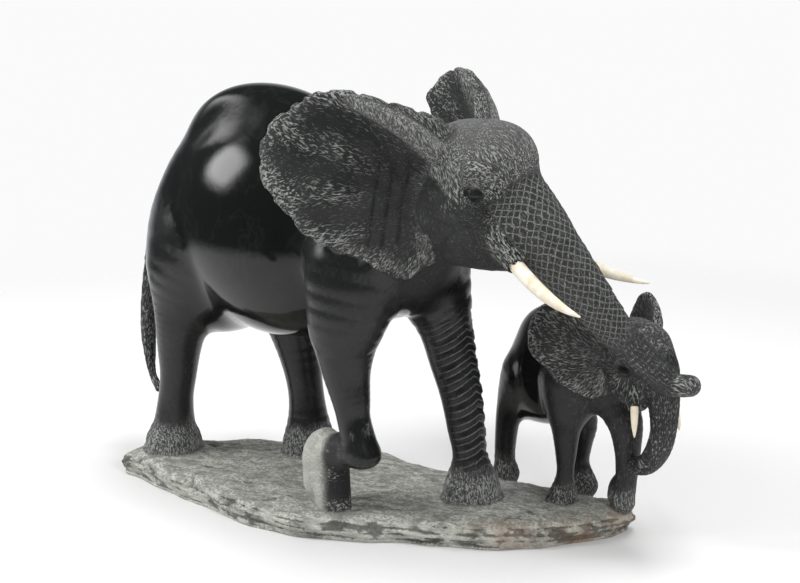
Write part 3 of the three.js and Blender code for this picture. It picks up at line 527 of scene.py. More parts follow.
TUSKS = {
    "mother_tusk_right": (COW_HEAD, COW_HEIGHT, -1, TUSK_LENGTH, TUSK_DIAMETER,
                          ((0.13, 0.085, -0.128), (0.238, 0.132, -0.205), (0.342, 0.158, -0.22))),
    "mother_tusk_left": (COW_HEAD, COW_HEIGHT, 1, LEFT_TUSK_LENGTH, TUSK_DIAMETER,
                         ((0.13, 0.085, -0.128), (0.25, 0.138, -0.2), (0.37, 0.165, -0.212))),
    "calf_tusk_right": (CALF_HEAD, CALF_HEIGHT, -1, CALF_TUSK_LENGTH, CALF_TUSK_DIAMETER,
                        ((0.19, 0.105, -0.12), (0.235, 0.125, -0.18), (0.252, 0.127, -0.25))),
    "calf_tusk_left": (CALF_HEAD, CALF_HEIGHT, 1, CALF_TUSK_LENGTH, CALF_TUSK_DIAMETER,
                       ((0.19, 0.105, -0.12), (0.235, 0.125, -0.18), (0.252, 0.127, -0.25))),
}
TUSK_TAPER = (
    (0.0, 1.0), (0.12, 1.0), (0.3, 0.97), (0.5, 0.86), (0.68, 0.68), (0.84, 0.45), (0.94, 0.26), (1.0, 0.1),
)


def tusk_curve(name: str, shares: Sequence[float]) -> Array:
    """Points on a tusk's centre line.

    Args:
        name: the tusk.
        shares: places from root, 0, to tip, 1.

    Returns:
        One point per share.
    """
    head, scale, side, length, _, ends = TUSKS[name]
    a, b, c = (head.point((f, l * side, u), scale) for f, l, u in ends)

    def at(t: Array) -> Array:
        """Points of the full curve at places from 0 to 1."""
        t = t[:, None]
        return (1 - t) ** 2 * a + 2 * t * (1 - t) * b + t * t * c

    grown = length / np.linalg.norm(np.diff(at(np.linspace(0, 1, 201)), axis=0), axis=1).sum()
    b, c = a + (b - a) * grown, a + (c - a) * grown
    return at(np.array(shares, float))


def torso(axes: Axes, s: float, long: float, wide: float) -> list[Form]:
    """Barrel, rump, back and shoulders.

    Args:
        axes: the directions that the shares are told in.
        s: the animal's height, in millimetres.
        long: length as a share of the cow's.
        wide: width as a share of the cow's.

    Returns:
        The forms, in the order in which they are joined.
    """
    rump = (
        (-0.6 * long, 0, 0.515, 0.2 * wide), (-0.6 * long, 0, 0.6, 0.188 * wide),
        (-0.59 * long, 0, 0.7, 0.155 * wide), (-0.575 * long, 0, 0.8, 0.108 * wide),
    )
    return [
        Blob(axes, s, (-0.36 * long, 0, 0.65), (0.35 * long, 0.232, 0.295), 26),
        Limb(axes, s, rump, 20),
        Blob(axes, s, (-0.38 * long, 0, 0.86), (0.285 * long, 0.095, 0.142), 22),
        Blob(axes, s, (0, 0, 0.7), (0.2 * long, 0.2, 0.235), 26),
        Limb(axes, s, ((0.04 * long, 0.01, 0.76, 0.17), (0.2, 0.03, 0.8, 0.14)), 24),
    ]


def tagged(region: Region, forms: Sequence[Form]) -> list[Form]:
    """The forms, marked with their region.

    Args:
        region: the region to mark them with.
        forms: the forms.

    Returns:
        The same forms.
    """
    for form in forms:
        form.region = region
    return list(forms)


EAR_FOLD = (
    (0.159, 0.228, 0.028, 0.01), (0.087, 0.2, 0.033, 0.016),
    (0.019, 0.16, 0.024, 0.022), (-0.039, 0.11, 0.011, 0.024),
)
EAR_CREASE = (
    (0.069, 0.125, 0.042, 0.007), (0.044, 0.075, 0.038, 0.012), (0.02, 0.03, 0.032, 0.013),
    (0.017, -0.03, 0.031, 0.013), (0.0, -0.08, 0.024, 0.012), (-0.016, -0.13, 0.015, 0.008),
)


FOLDED_SHANK = ((0.055, -0.149, 0.165, 0.04), (-0.01, -0.146, 0.15, 0.046), (-0.055, -0.143, 0.13, 0.05))
FOLDED_STEM = ((-0.06, -0.142, 0.14, 0.048), (-0.058, -0.142, 0.08, 0.05), (-0.045, -0.142, 0.0, 0.044))


def on_sheet(root: Sequence[float], spread: float, side: int, joint: Sequence[float]) -> tuple[float, ...]:
    """A joint on an ear's sheet, told in the head's own directions.

    Args:
        root: where the ear starts, in shares of the height.
        spread: how far the ear stands out, in degrees.
        side: 1 for left and -1 for right.
        joint: shares back, up and outward, and a radius.

    Returns:
        Shares forward, left and up, and the radius.
    """
    u, v, n, radius = joint
    turn = math.radians(spread)
    forward = root[0] - u * math.cos(turn) + n * math.sin(turn)
    left = root[1] + side * (u * math.sin(turn) + n * math.cos(turn))
    return forward, left, root[2] + v, radius


def cow_forms() -> list[Form]:
    """All forms of the cow, in the order in which they are joined.

    Returns:
        The forms.
    """
    s, h, c = COW_HEIGHT, COW_HEAD, COW
    folds = {"left_front": Ribs(15, 1.8, 0.2, 0.86)}
    forms = tagged(Region.BODY, torso(c, s, 1, 1))
    for name, joints in COW_LEGS.items():
        region = Region.SHIN if name == "left_front" else Region.LEG
        forms += tagged(region, [Limb(c, s, joints, 14, ribs=folds.get(name))])
    forms += tagged(Region.FOLDED_FOOT, [
        Blob(c, s, (0.058, -0.149, 0.158), (0.054, 0.046, 0.036), 5),
        Limb(c, s, FOLDED_SHANK, 5),
        Limb(c, s, FOLDED_STEM, 5),
        Blob(c, s, (-0.085, -0.142, 0.092), (0.032, 0.06, 0.098), 5, -6),
        Blob(c, s, (-0.084, -0.142, 0.132), (0.034, 0.062, 0.058), 5, -6),
    ])
    forms += tagged(Region.TAIL, [Limb(c, s, COW_TAIL, 5)])
    forms += tagged(Region.HEAD, [
        Blob(h, s, (-0.01, 0, 0.042), (0.146, 0.122, 0.13), 18),
        Blob(h, s, (0.055, 0, 0.085), (0.085, 0.095, 0.083), 14),
        Blob(h, s, (0.02, 0, -0.075), (0.14, 0.105, 0.105), 20),
        Limb(h, s, ((-0.02, 0, -0.11, 0.07), (0.07, 0, -0.135, 0.045), (0.12, 0, -0.165, 0.018)), 10),
    ])
    for k in (-1, 1):
        brow = ((-0.01, 0.1 * k, 0.075, 0.02), (0.045, 0.1 * k, 0.066, 0.026), (0.085, 0.084 * k, 0.03, 0.02))
        cheek = (
            (-0.03, 0.112 * k, -0.03, 0.02), (0.04, 0.108 * k, -0.03, 0.024),
            (0.085, 0.092 * k, -0.075, 0.02),
        )
        forms += tagged(Region.HEAD, [
            Limb(h, s, ((0.06, 0.055 * k, -0.06, 0.05), (0.14, 0.088 * k, -0.135, 0.026)), 10),
            Limb(h, s, brow, 6),
            Limb(h, s, cheek, 8),
            Blob(h, s, (-0.045, 0.142 * k, 0.055), (0.034, 0.026, 0.046), 6, 0, True),
            Blob(h, s, (0.044, 0.125 * k, 0.02), (0.031, 0.02, 0.017), 4, 0, True),
        ])
        forms += tagged(Region.EYE, [Blob(h, s, (0.044, 0.108 * k, 0.02), (0.019, 0.014, 0.014), 2)])
    forms += tagged(Region.TRUNK, [Limb(c, s, COW_TRUNK, 8, ribs=Ribs(13, 1.1, 0.16, 0.97))])
    ears = (((-0.1, -0.115, 0.0), 20, -1, COW_EAR), ((-0.062, 0.135, -0.008), 40, 1, COW_LEFT_EAR))
    for root, spread, side, outline in ears:
        forms += tagged(Region.EAR, [Ear(h, s, root, spread, side, EAR_THICKNESS, 0.14, outline, 8)])
    for root, spread, side, _ in ears:
        fold = [on_sheet(root, spread, side, joint) for joint in EAR_FOLD]
        crease = [on_sheet(root, spread, side, joint) for joint in EAR_CREASE]
        forms += tagged(Region.HEAD, [Limb(h, s, fold, 9), Limb(h, s, crease, 4, cut=True)])
    return forms


def calf_forms() -> list[Form]:
    """All forms of the calf, in the order in which they are joined.

    Returns:
        The forms.
    """
    s, h, c = CALF_HEIGHT, CALF_HEAD, CALF
    forms = tagged(Region.CALF_BODY, torso(c, 0.95 * s, 0.7, 0.92))
    forms += tagged(Region.CALF_LEG, [Limb(c, s, joints, 14) for joints in CALF_LEGS.values()])
    forms += tagged(Region.CALF_LEG, [Blob(c, s, (0.2, 0.09, 0.085), (0.05, 0.07, 0.1), 4, -10)])
    forms += tagged(Region.CALF_HEAD, [
        Blob(h, s, (-0.02, 0, 0.06), (0.18, 0.165, 0.18), 12),
        Blob(h, s, (0.08, 0, 0.12), (0.12, 0.13, 0.13), 10),
        Blob(h, s, (0.0, 0, -0.08), (0.165, 0.13, 0.11), 12),
        Limb(h, s, ((0.0, 0, -0.12, 0.08), (0.09, 0, -0.17, 0.03)), 6),
    ])
    for k in (-1, 1):
        forms += tagged(Region.CALF_HEAD, [
            Limb(h, s, ((0.1, 0.06 * k, -0.08, 0.06), (0.17, 0.09 * k, -0.13, 0.035)), 6),
            Blob(h, s, (0.1, 0.155 * k, 0.03), (0.045, 0.035, 0.03), 3, 0, True),
        ])
        forms += tagged(Region.EYE, [Blob(h, s, (0.1, 0.128 * k, 0.03), (0.03, 0.024, 0.024), 1.5)])
    forms += tagged(Region.CALF_TRUNK, [Limb(c, s, CALF_TRUNK, 6)])
    forms += tagged(Region.CALF_EAR, [
        Ear(h, s, (-0.1, -0.16, 0.02), 32, -1, CALF_EAR_THICKNESS, 0.12, CALF_EAR, 4),
        Ear(h, s, (-0.08, 0.16, 0.0), 14, 1, CALF_EAR_THICKNESS, 0.12, CALF_EAR, 4),
    ])
    return forms


def slab_forms() -> list[Form]:
    """The slab and the place where its front end is hacked away underneath.

    Returns:
        The two forms.
    """
    axes = Axes.at((0, 0, 0), SLAB_TURN)
    edge = ((0.37, -0.36), (0.43, -0.24), (0.485, -0.1), (0.51, 0.04))
    rows = [(u * SLAB_LENGTH, v * SLAB_WIDTH, 0, 0.42 * SLAB_THICKNESS) for u, v in edge]
    return tagged(Region.SLAB, [Slab(), Limb(axes, 1, rows, 5, cut=True)])


def socket_forms() -> list[Form]:
    """The room that each tusk has in the stone.

    Returns:
        One cutting form per tusk.
    """
    forms: list[Form] = []
    world = Axes.at((0, 0, 0), 0)
    for name, (_, _, _, length, diameter, _) in TUSKS.items():
        taper = np.array(TUSK_TAPER)
        start = 0.5 * diameter / length
        shares = np.concatenate([[start], taper[2:, 0]])
        radii = np.interp(shares, taper[:, 0], taper[:, 1]) * diameter / 2 + SOCKET_CLEARANCE
        rows = np.column_stack([tusk_curve(name, shares), radii])
        forms.append(Limb(world, 1, rows, 0.2, cut=True))
    return tagged(Region.SOCKET, forms)


class Block:
    """The whole stone block as one signed distance."""

    def __init__(self) -> None:
        """Collects the forms in three groups and the sockets."""
        self.groups = [slab_forms(), calf_forms(), cow_forms()]
        self.sockets = socket_forms()

    def distance(self, p: Array) -> Array:
        """Signed distance of points in millimetres, negative inside.

        Args:
            p: points in millimetres.

        Returns:
            One distance per point.
        """
        whole = np.full(len(p), 1e3)
        for forms in self.groups:
            body = np.full(len(p), 1e3)
            for form in forms:
                here = form.near(p)
                if not here.any():
                    continue
                d, so_far = form.distance(p[here]), body[here]
                if form.cut:
                    body[here] = -smooth_min(-so_far, d, form.blend)
                else:
                    body[here] = smooth_min(so_far, d, form.blend)
            whole = smooth_min(whole, body, JOINT_BLEND)
        for form in self.sockets:
            here = form.near(p)
            whole[here] = np.maximum(whole[here], -form.distance(p[here]))
        return whole

    def nearest(self, p: Array) -> tuple[Array, list[Form], Array]:
        """Which form each point belongs to.

        Args:
            p: points in millimetres.

        Returns:
            The number of the nearest form, the list of forms, and how much nearer it is than the
            nearest form of any other region.
        """
        forms = [f for forms in self.groups for f in forms if not f.cut] + self.sockets
        best = np.full(len(p), 1e3)
        rival = np.full(len(p), 1e3)
        who = np.zeros(len(p), int)
        regions = np.array([f.region.value for f in forms])
        for i, form in enumerate(forms):
            here = np.nonzero(form.near(p))[0]
            if not len(here):
                continue
            d = np.abs(form.distance(p[here]))
            same = regions[who[here]] == form.region.value
            nearer = d < best[here]
            rival[here] = np.where(nearer & ~same, best[here], rival[here])
            rival[here] = np.where(~nearer & ~same, np.minimum(rival[here], d), rival[here])
            who[here[nearer]] = i
            best[here] = np.minimum(best[here], d)
        return who, forms, rival - best

    def gradient(self, p: Array, h: float = 6.0) -> Array:
        """Unit outward direction of the smooth surface at points.

        Args:
            p: points in millimetres.
            h: how far apart the surface is felt, in millimetres.

        Returns:
            One direction per point.
        """
        total = np.zeros_like(p)
        for corner in ((1, 1, 1), (1, -1, -1), (-1, 1, -1), (-1, -1, 1)):
            k = np.array(corner, float)
            total += k * self.distance(p + h * k)[:, None]
        return total / np.maximum(np.linalg.norm(total, axis=1), 1e-9)[:, None]


def grains(p: Array, size: float, seed: int) -> Array:
    """Smooth random values between -1 and 1, with lumps of a given size in millimetres.

    Args:
        p: points in millimetres.
        size: size of the lumps, in millimetres.
        seed: a number that picks the pattern.

    Returns:
        One value per point.
    """
    q = p / size + seed * 17.13
    cell = np.floor(q).astype(np.int64)
    f = q - cell
    f = f * f * (3.0 - 2.0 * f)
    total = np.zeros(len(p))
    for corner in range(8):
        bits = np.array([corner & 1, corner >> 1 & 1, corner >> 2 & 1])
        c = cell + bits
        n = (c[:, 0] * 73856093) ^ (c[:, 1] * 19349663) ^ (c[:, 2] * 83492791) ^ (seed * 2654435)
        n = (n ^ (n >> 13)) * 1274126177 & 0x7FFFFFFF
        weight = np.prod(np.where(bits, f, 1.0 - f), axis=1)
        total += weight * (n / 0x3FFFFFFF - 1.0)
    return total


@dataclass
class Surface:
    """What is known about every point of the surface before it is carved."""

    points: Array
    stroke: Array
    lattice: Array
    matte: Array
    pale: Array
    rough: Array
    rust: Array
    # Dust on the feet, ear rims and trunk, and painted light on the top of the cow's head and the slab's
    # sides.
    dust_and_painted_light: Array
    relief: Array

    @staticmethod
    def blank(points: Array) -> "Surface":
        """A polished surface with no relief.

        Args:
            points: places of the points, in millimetres.

        Returns:
            The surface.
        """
        n = len(points)
        plain = [np.zeros(n) for _ in range(6)]
        return Surface(points, points.copy(), np.zeros((n, 3)), *plain)


def pulse(wave: Array, low: float = 0.35) -> Array:
    """Narrow grooves where a wave is near its top."""
    return smooth_step(low, 1.0, wave)


class Chisel:
    """Knows how each region of the block is finished."""

    def __init__(self, block: Block) -> None:
        """Keeps the block whose regions it works on."""
        self.block = block

    def around(self, limb: Limb, p: Array) -> tuple[Array, Array, Array]:
        """Place along a limb, and the offset across it as two distances.

        Args:
            limb: the limb.
            p: points in millimetres.

        Returns:
            The place, the distance ahead and upwards, and the distance to the left.
        """
        _, place, offset = limb.walk(p, taper=0.0)
        ahead = offset @ limb.axes.forward * 0.7 + offset @ limb.axes.up * 0.7
        return place, ahead, offset @ limb.axes.left

    def survey(self, p: Array) -> Surface:
        """Finds stroke directions, finish and relief for all points.

        Args:
            p: points in millimetres.

        Returns:
            The surface's values, one per point.
        """
        made = Surface.blank(p)
        who, forms, margin = self.block.nearest(p)
        settle = smooth_step(0.0, 5.0, margin)
        work: dict[Region, Callable[[Surface, Array, Form], None]] = {
            Region.BODY: self.body, Region.LEG: self.leg, Region.SHIN: self.leg,
            Region.FOLDED_FOOT: self.folded_foot, Region.TAIL: self.tail, Region.HEAD: self.head,
            Region.TRUNK: self.trunk, Region.EAR: self.ear, Region.EYE: self.eye, Region.SLAB: self.slab,
            Region.CALF_BODY: self.calf_body, Region.CALF_LEG: self.calf_leg,
            Region.CALF_HEAD: self.calf_head, Region.CALF_TRUNK: self.calf_trunk,
            Region.CALF_EAR: self.calf_ear,
        }
        for i, form in enumerate(forms):
            here = np.nonzero(who == i)[0]
            if len(here) and form.region in work:
                work[form.region](made, here, form)
        made.relief *= 0.35 + 0.65 * settle
        floor = smooth_step(0.3, 3.0, p[:, 2])
        made.relief *= floor
        return made

    def body(self, made: Surface, here: Array, form: Form) -> None:
        """Polished all over, with a matte chest and rough places under the ears and at the shoulder.

        Args:
            made: the values of the surface, filled in.
            here: numbers of the points that belong to the form.
            form: the form that they belong to.
        """
        f, l, u = (COW.local(made.points[here]) / COW_HEIGHT).T
        chest = smooth_step(0.1, 0.2, f)
        side = smooth_step(0.0, 0.05, -l)
        seam = np.exp(-((f + 0.075 + 0.12 * (0.68 - u)) / 0.014) ** 2) * side
        seam = seam * smooth_step(0.4, 0.5, u) * smooth_step(0.72, 0.68, u)
        made.matte[here] = np.clip(chest + seam, 0, 1)
        made.pale[here] = 0.25 * chest + 0.7 * seam
        folds = np.sin(60 * f + 25 * u + 3 * grains(made.points[here], 40, 3))
        cut_seam = 0.7 * seam * (1 + grains(made.points[here], 5, 4))
        made.relief[here] = -1.1 * chest * pulse(folds, 0.2) - cut_seam
        q = COW.local(made.points[here])
        made.stroke[here] = np.column_stack([q[:, 0], q[:, 1], q[:, 2] / 3])

    def limb_values(self, made: Surface, here: Array, form: Form) -> tuple[Array, Array, Array, Array]:
        """Place along a limb in its share and in millimetres, the angle round it, and its size.

        Args:
            made: the values of the surface, filled in.
            here: numbers of the points that belong to the form.
            form: the form that they belong to.

        Returns:
            The share, the place, the angle and the size, one each per point.
        """
        if not isinstance(form, Limb):
            q = made.points[here]
            return np.zeros(len(here)), q[:, 2], np.arctan2(q[:, 1], q[:, 0]), np.full(len(here), 20.0)
        place, ahead, across = self.around(form, made.points[here])
        made.stroke[here] = np.column_stack([ahead, across, place / 3])
        return place / form.long, place, np.arctan2(across, ahead), np.hypot(ahead, across)

    def leg(self, made: Surface, here: Array, form: Form) -> None:
        """Polished above, scratched and pale at the foot, with folds on the forelegs.

        Args:
            made: the values of the surface, filled in.
            here: numbers of the points that belong to the form.
            form: the form that they belong to.
        """
        share, place, angle, size = self.limb_values(made, here, form)
        p = made.points[here]
        high = (p[:, 2] - SLAB_THICKNESS) / COW_HEIGHT
        foot = smooth_step(0.115, 0.05, high + 0.012 * grains(p, 9, 5))
        matte = np.maximum(foot, 0.3)
        made.dust_and_painted_light[here] = 0.55 * foot
        scratches = np.cos(angle * 30 + 4 * grains(p, 12, 6))
        relief = -0.45 * foot * pulse(scratches, 0.0) - 0.5 * foot * (1 + grains(p, 5, 7))
        pale = 0.95 * foot
        if form.region is Region.SHIN:
            front = np.clip(np.cos(angle) * 1.2 + 0.35, 0, 1) * smooth_step(0.2, 0.3, share)
            matte = np.maximum(matte, 0.5 * np.clip(front * 2, 0, 1))
            arc = (place - 0.45 * np.abs(size * np.sin(angle))) * LATTICE_PITCH / 7.5
            relief -= 0.4 * front * (1 - foot) * pulse(np.cos(2 * np.pi * arc / LATTICE_PITCH), 0.3)
            made.lattice[here] = np.column_stack([arc, arc, 0.6 * front * (1 - foot)])
        elif form.region is Region.LEG and form.path[0][0] > 0:
            edge = np.clip(np.cos(angle - 0.35) * 3 - 2, 0, 1)
            edge *= smooth_step(0.62, 0.5, share) * smooth_step(0.2, 0.3, share)
            arcs = np.cos(2 * np.pi * (place + 0.3 * size * np.sin(angle)) / 9)
            relief -= 0.3 * edge * pulse(arcs, 0.2)
            scuffs = smooth_step(0.25, 0.75, grains(p, 9, 35)) * smooth_step(0.72, 0.86, share)
            matte = np.maximum(matte, 0.55 * scuffs)
            pale = np.maximum(pale, 0.75 * scuffs)
        made.matte[here] = matte
        made.pale[here] = pale
        made.relief[here] = relief

    def folded_foot(self, made: Surface, here: Array, form: Form) -> None:
        """The bent foot: a rough pale sole behind and a dark shank before it.

        Args:
            made: the values of the surface, filled in.
            here: numbers of the points that belong to the form.
            form: the form that they belong to.
        """
        p = made.points[here]
        f, _, u = (COW.local(p) / COW_HEIGHT).T
        behind = smooth_step(-0.02, -0.055, f)
        scuffs = smooth_step(0.1, 0.6, grains(p, 8, 36))
        shank = smooth_step(0.0, 0.03, f) * smooth_step(0.11, 0.14, u)
        made.matte[here] = 1.0 - shank * (0.7 - 0.5 * scuffs)
        made.pale[here] = np.maximum.reduce([behind, 0.5 * scuffs, 0.8 * smooth_step(0.035, 0.01, u)])
        made.rough[here] = 0.85 * behind
        made.dust_and_painted_light[here] = behind
        q = COW.local(p)
        made.stroke[here] = np.column_stack([q[:, 0] * 0.5, q[:, 1] / 2.5, q[:, 2]])
        lines = np.cos(q[:, 1] * 1.1 + q[:, 2] * 0.25 + 3 * grains(p, 14, 8))
        made.relief[here] = -behind * (0.5 * pulse(lines, 0.0) + 0.5 * (1 + grains(p, 5, 9)))

    def tail(self, made: Surface, here: Array, form: Form) -> None:
        """Rough, with hair cut along it.

        Args:
            made: the values of the surface, filled in.
            here: numbers of the points that belong to the form.
            form: the form that they belong to.
        """
        share, place, angle, _ = self.limb_values(made, here, form)
        p = made.points[here]
        made.matte[here] = 1.0
        made.pale[here] = 0.35 + 0.3 * share
        made.relief[here] = -0.8 * pulse(np.cos(angle * 7 + place * 0.12), 0.0) - 0.5 * (1 + grains(p, 5, 10))

    def head(self, made: Surface, here: Array, form: Form) -> None:
        """Strokes that fan out round the eye, wrinkles beside it and a polished patch on the brow.

        Args:
            made: the values of the surface, filled in.
            here: numbers of the points that belong to the form.
            form: the form that they belong to.
        """
        p = made.points[here]
        q = COW_HEAD.local(p)
        f, l, u = (q / COW_HEIGHT).T
        dx, dy = f - 0.044, u - 0.02
        far = np.hypot(dx, dy) * COW_HEIGHT
        turn = np.arctan2(dy, dx)
        arched = np.column_stack([far, 0.5 * q[:, 1], turn * 38 / 3])
        slant = (0.8 * q[:, 2] - 0.6 * q[:, 0]) / 3
        slanted = np.column_stack([q[:, 0] * 0.8 + 0.6 * q[:, 2], q[:, 1], slant])
        fanned = np.where((far < 34)[:, None], arched, slanted)
        upright = np.column_stack([q[:, 0] + 0.25 * q[:, 2], q[:, 1], q[:, 2] / 3])
        made.stroke[here] = np.where((f < 0.02)[:, None], upright, fanned)
        polished = smooth_step(0.105, 0.14, u) * smooth_step(0.115, 0.09, np.abs(l))
        polished = polished * smooth_step(-0.12, -0.04, f)
        cheek = smooth_step(0.02, -0.02, u) * smooth_step(0.1, 0.07, f)
        made.matte[here] = 1.0 - 0.3 * polished
        made.pale[here] = (0.85 - 0.55 * cheek) * (1 - 0.2 * polished)
        # Painted light: the brow and the top of the head are made lighter, as if lit from above.
        painted_brow_light = 0.5 * smooth_step(0.02, 0.05, u) * (1 - cheek)
        made.dust_and_painted_light[here] = np.maximum(smooth_step(0.06, 0.13, u), painted_brow_light)
        rings = np.cos(2 * np.pi * far / 5.5 + 1.5 * grains(p, 10, 11))
        near = smooth_step(42, 26, far) * smooth_step(7, 12, far)
        fan = np.cos(turn * 34 + 3 * grains(p, 16, 12))
        fan_cuts = 0.22 * (1 - near) * (1 - polished) * pulse(fan, 0.0)
        made.relief[here] = -0.45 * near * pulse(rings, 0.2) - fan_cuts
        made.relief[here] += 0.25 * (1 - polished) * grains(p, 6, 13)

    def trunk(self, made: Surface, here: Array, form: Form) -> None:
        """Lozenges cut by two sets of spiral lines, then rings towards the tip.

        Args:
            made: the values of the surface, filled in.
            here: numbers of the points that belong to the form.
            form: the form that they belong to.
        """
        share, place, angle, _ = self.limb_values(made, here, form)
        p = made.points[here]
        made.stroke[here, 2] *= 0.8
        assert isinstance(form, Limb)
        girth = angle * np.interp(place, form.sofar, form.path[:, 3])
        wander = 1.1 * grains(p, 16, 34) + 0.7 * grains(p, 6, 38)
        a, b = 0.75 * place + 0.66 * girth + wander, 0.75 * place - 0.66 * girth + wander
        c1, c2 = np.cos(2 * np.pi * a / LATTICE_PITCH), np.cos(2 * np.pi * b / LATTICE_PITCH)
        lattice = smooth_step(0.05, 0.14, share) * smooth_step(0.74, 0.62, share)
        ring = smooth_step(0.62, 0.74, share)
        rings = np.cos(2 * np.pi * (place + 1.2 * grains(p, 14, 14)) / 6.2)
        tip = smooth_step(0.93, 0.985, share)
        made.lattice[here] = np.column_stack([a, b, lattice])
        made.matte[here] = 1.0
        made.pale[here] = 0.3 + 0.4 * tip + 0.4 * ring * smooth_step(0.3, 1.0, rings)
        cuts = np.maximum(pulse(c1, 0.3), pulse(c2, 0.3))
        made.relief[here] = -0.3 * lattice * cuts - 0.6 * ring * (1 - tip) * pulse(rings, 0.1)
        made.dust_and_painted_light[here] = 0.25
        made.relief[here] += 0.12 * grains(p, 4, 15)

    def ear_values(self, made: Surface, here: Array, form: Form) -> tuple[Array, Array, Array]:
        """Angle and distance from the ear's root, and the distance to its rim.

        Args:
            made: the values of the surface, filled in.
            here: numbers of the points that belong to the form.
            form: the form that they belong to.

        Returns:
            The angle, the distance as a share of the height, and the distance to the rim.
        """
        assert isinstance(form, Ear)
        u, v, n = form.sheet(made.points[here]).T
        turn, far = np.arctan2(v, u + 0.1 * form.scale), np.hypot(u + 0.1 * form.scale, v)
        rim = outline_distance(form.rim, u, v)
        made.stroke[here] = np.column_stack([turn * 0.25 * form.scale, n, far / 3])
        return turn, far / form.scale, rim

    def ear(self, made: Surface, here: Array, form: Form) -> None:
        """Broad flutes that run out from the root, fine radial cuts and a notched rim.

        Args:
            made: the values of the surface, filled in.
            here: numbers of the points that belong to the form.
            form: the form that they belong to.
        """
        turn, far, rim = self.ear_values(made, here, form)
        p = made.points[here]
        edge = smooth_step(-26, -3, rim)
        flutes = np.cos(turn * 17 + 2.0 * grains(p, 45, 16)) * smooth_step(0.12, 0.3, far)
        cuts = np.cos(turn * 74 + 4 * grains(p, 22, 17))
        notch = smooth_step(-3.5, -0.5, rim) * pulse(np.cos(turn * 46 + 3 * grains(p, 20, 18)), -0.2)
        u, v, _ = form.sheet(p).T / form.scale
        band = smooth_step(0.0, 0.02, u) * smooth_step(0.135, 0.1, u)
        band = band * smooth_step(0.13, 0.07, v) * smooth_step(-0.17, -0.1, v)
        folds = band * pulse(np.cos(2 * np.pi * (u + 0.12 * v + 0.006 * grains(p, 40, 37)) / 0.032), 0.45)
        made.matte[here] = 1.0
        made.pale[here] = (0.35 + 0.4 * edge + 0.2 * flutes) * (1 - 0.3 * band)
        made.dust_and_painted_light[here] = 0.3 * edge
        made.relief[here] = 0.75 * flutes + 0.25 * grains(p, 7, 19) - 3.0 * notch - 1.8 * folds
        made.relief[here] -= 0.35 * pulse(cuts, 0.1) * (0.4 + 0.6 * edge)

    def eye(self, made: Surface, here: Array, form: Form) -> None:
        """Small balls with a dull polish."""
        made.matte[here] = 0.4

    def slab(self, made: Surface, here: Array, form: Form) -> None:
        """Rough all over, hacked in level ridges round the sides, with a rusty stain at the front end.

        Args:
            made: the values of the surface, filled in.
            here: numbers of the points that belong to the form.
            form: the form that they belong to.
        """
        p = made.points[here]
        x, y, z = p.T
        side = smooth_step(26, 20, z)
        ridges = np.cos(2 * np.pi * (z + 1.6 * grains(p, 26, 20) + 0.02 * x) / 6.5)
        made.rough[here] = 1.0
        made.matte[here] = 1.0
        made.pale[here] = 0.55
        along, across, _ = Axes.at((0, 0, 0), SLAB_TURN).local(p).T
        layers = np.column_stack([along / 3.2, across, z])
        chips = np.abs(grains(layers, 14, 21)) + 0.6 * np.abs(grains(layers, 6.5, 22))
        made.relief[here] = -2.4 * chips * (0.6 + 0.5 * side) - 0.9 * side * pulse(ridges, 0.0)
        made.relief[here] += 0.6 * grains(p, 4, 23)
        made.stroke[here] = np.column_stack([along / 2, across, z])
        made.rust[here] = smooth_step(175, 250, x - 0.35 * y + 25 * grains(p, 30, 24))
        # Painted light: the sides are made paler in patches, as if lit from the front.
        made.dust_and_painted_light[here] = side * smooth_step(-0.5, 0.4, grains(p, 20, 39))

    def calf_body(self, made: Surface, here: Array, form: Form) -> None:
        """Polished.

        Args:
            made: the values of the surface, filled in.
            here: numbers of the points that belong to the form.
            form: the form that they belong to.
        """
        q = CALF.local(made.points[here])
        made.stroke[here] = np.column_stack([q[:, 0], q[:, 1], q[:, 2] / 3])
        made.matte[here] = 0.25 * smooth_step(0.05, 0.15, q[:, 0] / CALF_HEIGHT)

    def calf_leg(self, made: Surface, here: Array, form: Form) -> None:
        """Half polished, with rough feet.

        Args:
            made: the values of the surface, filled in.
            here: numbers of the points that belong to the form.
            form: the form that they belong to.
        """
        _, _, angle, _ = self.limb_values(made, here, form)
        p = made.points[here]
        high = (p[:, 2] - SLAB_THICKNESS) / CALF_HEIGHT
        foot = smooth_step(0.17, 0.06, high + 0.02 * grains(p, 7, 25))
        front = smooth_step(0.05, 0.2, COW.local(p)[:, 0] / COW_HEIGHT - 0.25)
        made.matte[here] = np.maximum(foot, 0.3 + 0.4 * front)
        made.dust_and_painted_light[here] = 0.4 * foot
        made.pale[here] = np.maximum(0.75 * foot, 0.3 * front)
        scratches = pulse(np.cos(angle * 18 + 3 * grains(p, 9, 26)), 0.0)
        made.relief[here] = -0.4 * foot * scratches - 0.3 * foot * (1 + grains(p, 4, 27))

    def calf_head(self, made: Surface, here: Array, form: Form) -> None:
        """Strokes that fan out round the eye.

        Args:
            made: the values of the surface, filled in.
            here: numbers of the points that belong to the form.
            form: the form that they belong to.
        """
        p = made.points[here]
        f, l, u = CALF_HEAD.local(p).T
        dx, dy = f - 0.1 * CALF_HEIGHT, u - 0.03 * CALF_HEIGHT
        far, turn = np.hypot(dx, dy), np.arctan2(dy, dx)
        made.stroke[here] = np.column_stack([turn * 22, 0.6 * l, far / 3])
        made.matte[here] = 1.0
        made.pale[here] = 0.5
        # Lighter towards the top of the head.
        made.dust_and_painted_light[here] = 0.5 * smooth_step(0.05, 0.2, u / CALF_HEIGHT)
        fan = np.cos(turn * 24 + 3 * grains(p, 9, 28))
        made.relief[here] = -0.25 * pulse(fan, 0.0) + 0.15 * grains(p, 5, 29)

